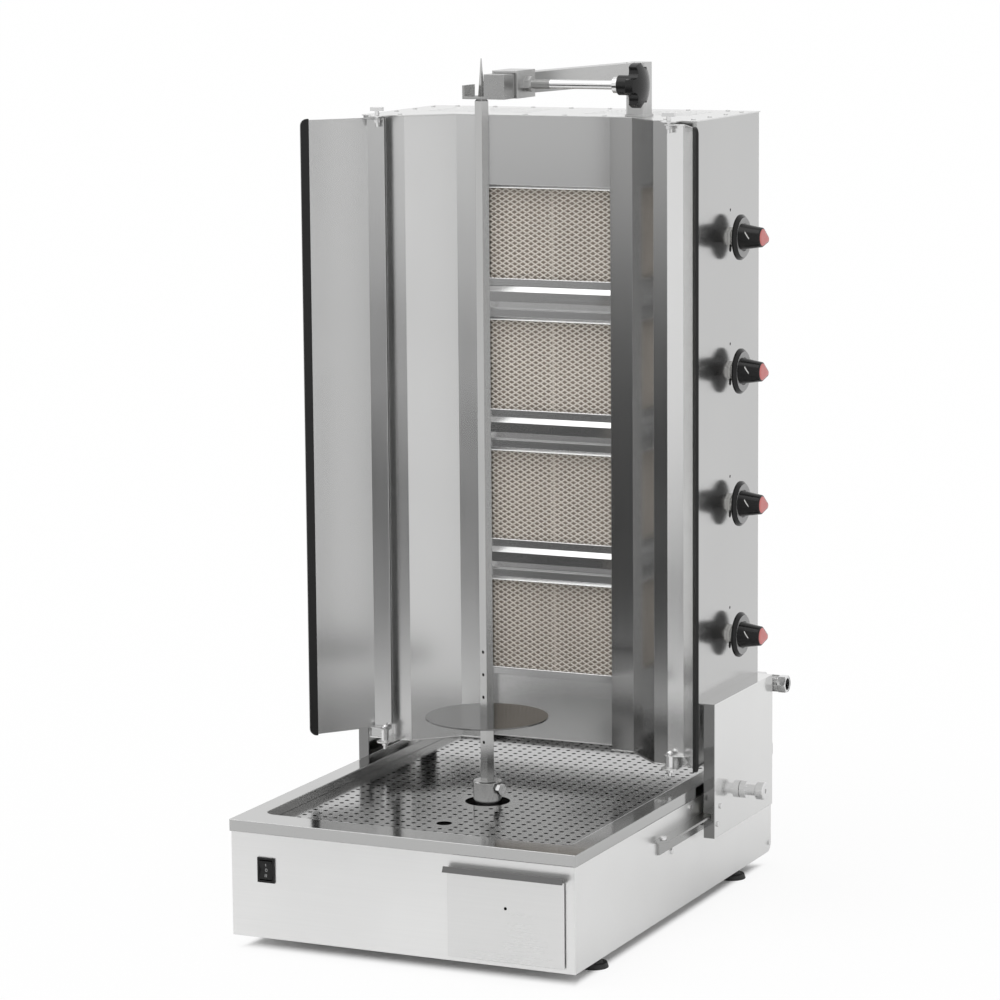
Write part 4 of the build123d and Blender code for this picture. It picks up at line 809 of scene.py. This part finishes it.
panel_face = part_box("side_panel_right")[1].x
shade_half_wide, shade_half_high, shade_drop = 0.0033, 0.0048, 0.0150
dial_outer, dial_inner, dial_rise = 0.0258, 0.0180, 0.00015
inlay_insets, inlay_shares = (1.6, 1.8, 2.4), (0.6, 0.25, 0.02)
inlay_rises = np.array([-0.0002, 0.0003, 0.0005, 0.0006, 0.0006, 0.0006])[:, None]
stroke_run, stroke_turns = np.linspace(0.009, 0.015, 5), np.radians([-4.0, 4.0])
mark_behind, mark_round, mark_middle, mark_lean = -0.008, 0.0172, 0.012, 90
for number, height in enumerate(burner_heights, start=1):
    knob_y = next(j for j in frame["joints"] if j["name"] == f"knob_{number}_turn")["pos_m"][1]
    knob_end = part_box(f"knob_{number}")[1].x
    # A black oval dome in the panel: painted shade of a hole.
    piece(f"spindle_hole_shade_{number}", *spindle_hole_shade(height), "tower", "black_rubber", rubber)
    rings = np.stack([teardrop(inset) for inset in inlay_insets])
    heart = rings[2].mean(0)
    core = np.stack([heart + (rings[2] - heart) * share for share in inlay_shares])
    inlay = knob_plane(np.concatenate([rings, core]), inlay_rises + knob_end, height)
    piece(f"pointer_{number}", inlay.reshape(-1, 3), grid_faces(6, 48, True),
          f"knob_{number}", "knob_black", knob_red)
    flange_face = knob_end - grip_length
    turn = np.linspace(0, 2 * np.pi, 65)[:-1]
    dial = np.array([dial_outer, dial_inner])[:, None, None] * np.stack([np.cos(turn), np.sin(turn)], -1)
    piece(f"dial_{number}", knob_plane(dial, flange_face + dial_rise, height).reshape(-1, 3),
          grid_faces(2, 64, True), f"knob_{number}", "knob_black", dial_print)
    along, round_turn = np.meshgrid(stroke_run, stroke_turns, indexing="ij")
    share = 1 - grip_taper * along / grip_length
    lean = np.pi + round_turn + (along - mark_middle) * mark_lean
    back_to_front = (mark_behind + mark_round * np.cos(lean)) * share
    stroke = np.stack([back_to_front, mark_round * np.sin(lean) * share], -1)
    piece(f"grip_mark_{number}", knob_plane(stroke, flange_face + along, height).reshape(-1, 3),
          grid_faces(5, 2), f"knob_{number}", "knob_black", white_print)

# Top arm: square steel beam welded to a post on the tower's top, with the sleeve that
# holds the spit guide, a clamp rod and a black star knob.
arm_steel = steel("arm_steel", (0.50, 0.50, 0.496), 0.28, (90, 90, 300), cloud=0.08, edge=0.0012)
holder_steel = steel("holder_steel", (0.36, 0.36, 0.357), 0.26, (90, 90, 300), cloud=0.10, edge=0.0012)
star_plastic = moulded("star_plastic", (0.005, 0.005, 0.005), 0.26, 300, 0.08, (0.009, 0.009, 0.009),
                       shine=0.35)
rod_chrome = steel("rod_chrome", (0.74, 0.74, 0.74), 0.16, (10, 400, 400), depth=0.04)
dark_thread = steel("dark_thread", (0.30, 0.30, 0.295), 0.34, (200, 200, 200), depth=0.1)
dress(arm_steel, "top_arm", "arm_sleeve")
dress(holder_steel, "spit_holder")
dress(star_plastic, "star_knob")
dress(rod_chrome, "clamp_rod")
clamp_pin = next(j for j in frame["joints"] if j["name"] == "arm_clamp_turn")["pos_m"]
sleeve_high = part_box("arm_sleeve")[1]
thread_start, thread_length, thread_radius = 0.0004, 0.026, 0.0057
thread_pitch, thread_depth, thread_sink = 0.0015, 0.0004, 0.0002


def screw_thread(start, length, radius, pitch, depth, axis_y, axis_z):
    """Helical thread along X: the radius is a smooth wave of the distance along the axis less the turn's
    share of the pitch, and it runs out at both ends."""
    turns = 28
    rings = int(length / pitch * 6) + 1
    around = np.linspace(0, 2 * np.pi, turns + 1)[:-1]
    x, turn = np.meshgrid(np.linspace(0, length, rings), around, indexing="ij")
    fade = np.clip(np.minimum(x, length - x) / pitch, 0, 1)
    crest = 0.5 + 0.5 * np.cos(2 * np.pi * x / pitch - turn)
    r = radius - thread_sink + (thread_sink + depth * crest) * fade
    points = np.stack([start + x, axis_y + r * np.cos(turn), axis_z + r * np.sin(turn)], -1).reshape(-1, 3)
    return points, grid_faces(rings, turns, True)[:, ::-1]


clamp_shape = screw_thread(sleeve_high.x + thread_start, thread_length, thread_radius,
                           thread_pitch, thread_depth, clamp_pin[1], clamp_pin[2])
piece("clamp_thread", *clamp_shape, "arm_clamp", "bolt_steel", dark_thread)

# Screws and bolts: small plain heads of bright steel, cold formed,
# screwed into the walls of the base and the tower.
dress(bolt_steel, "base_screws", "tower_screws")
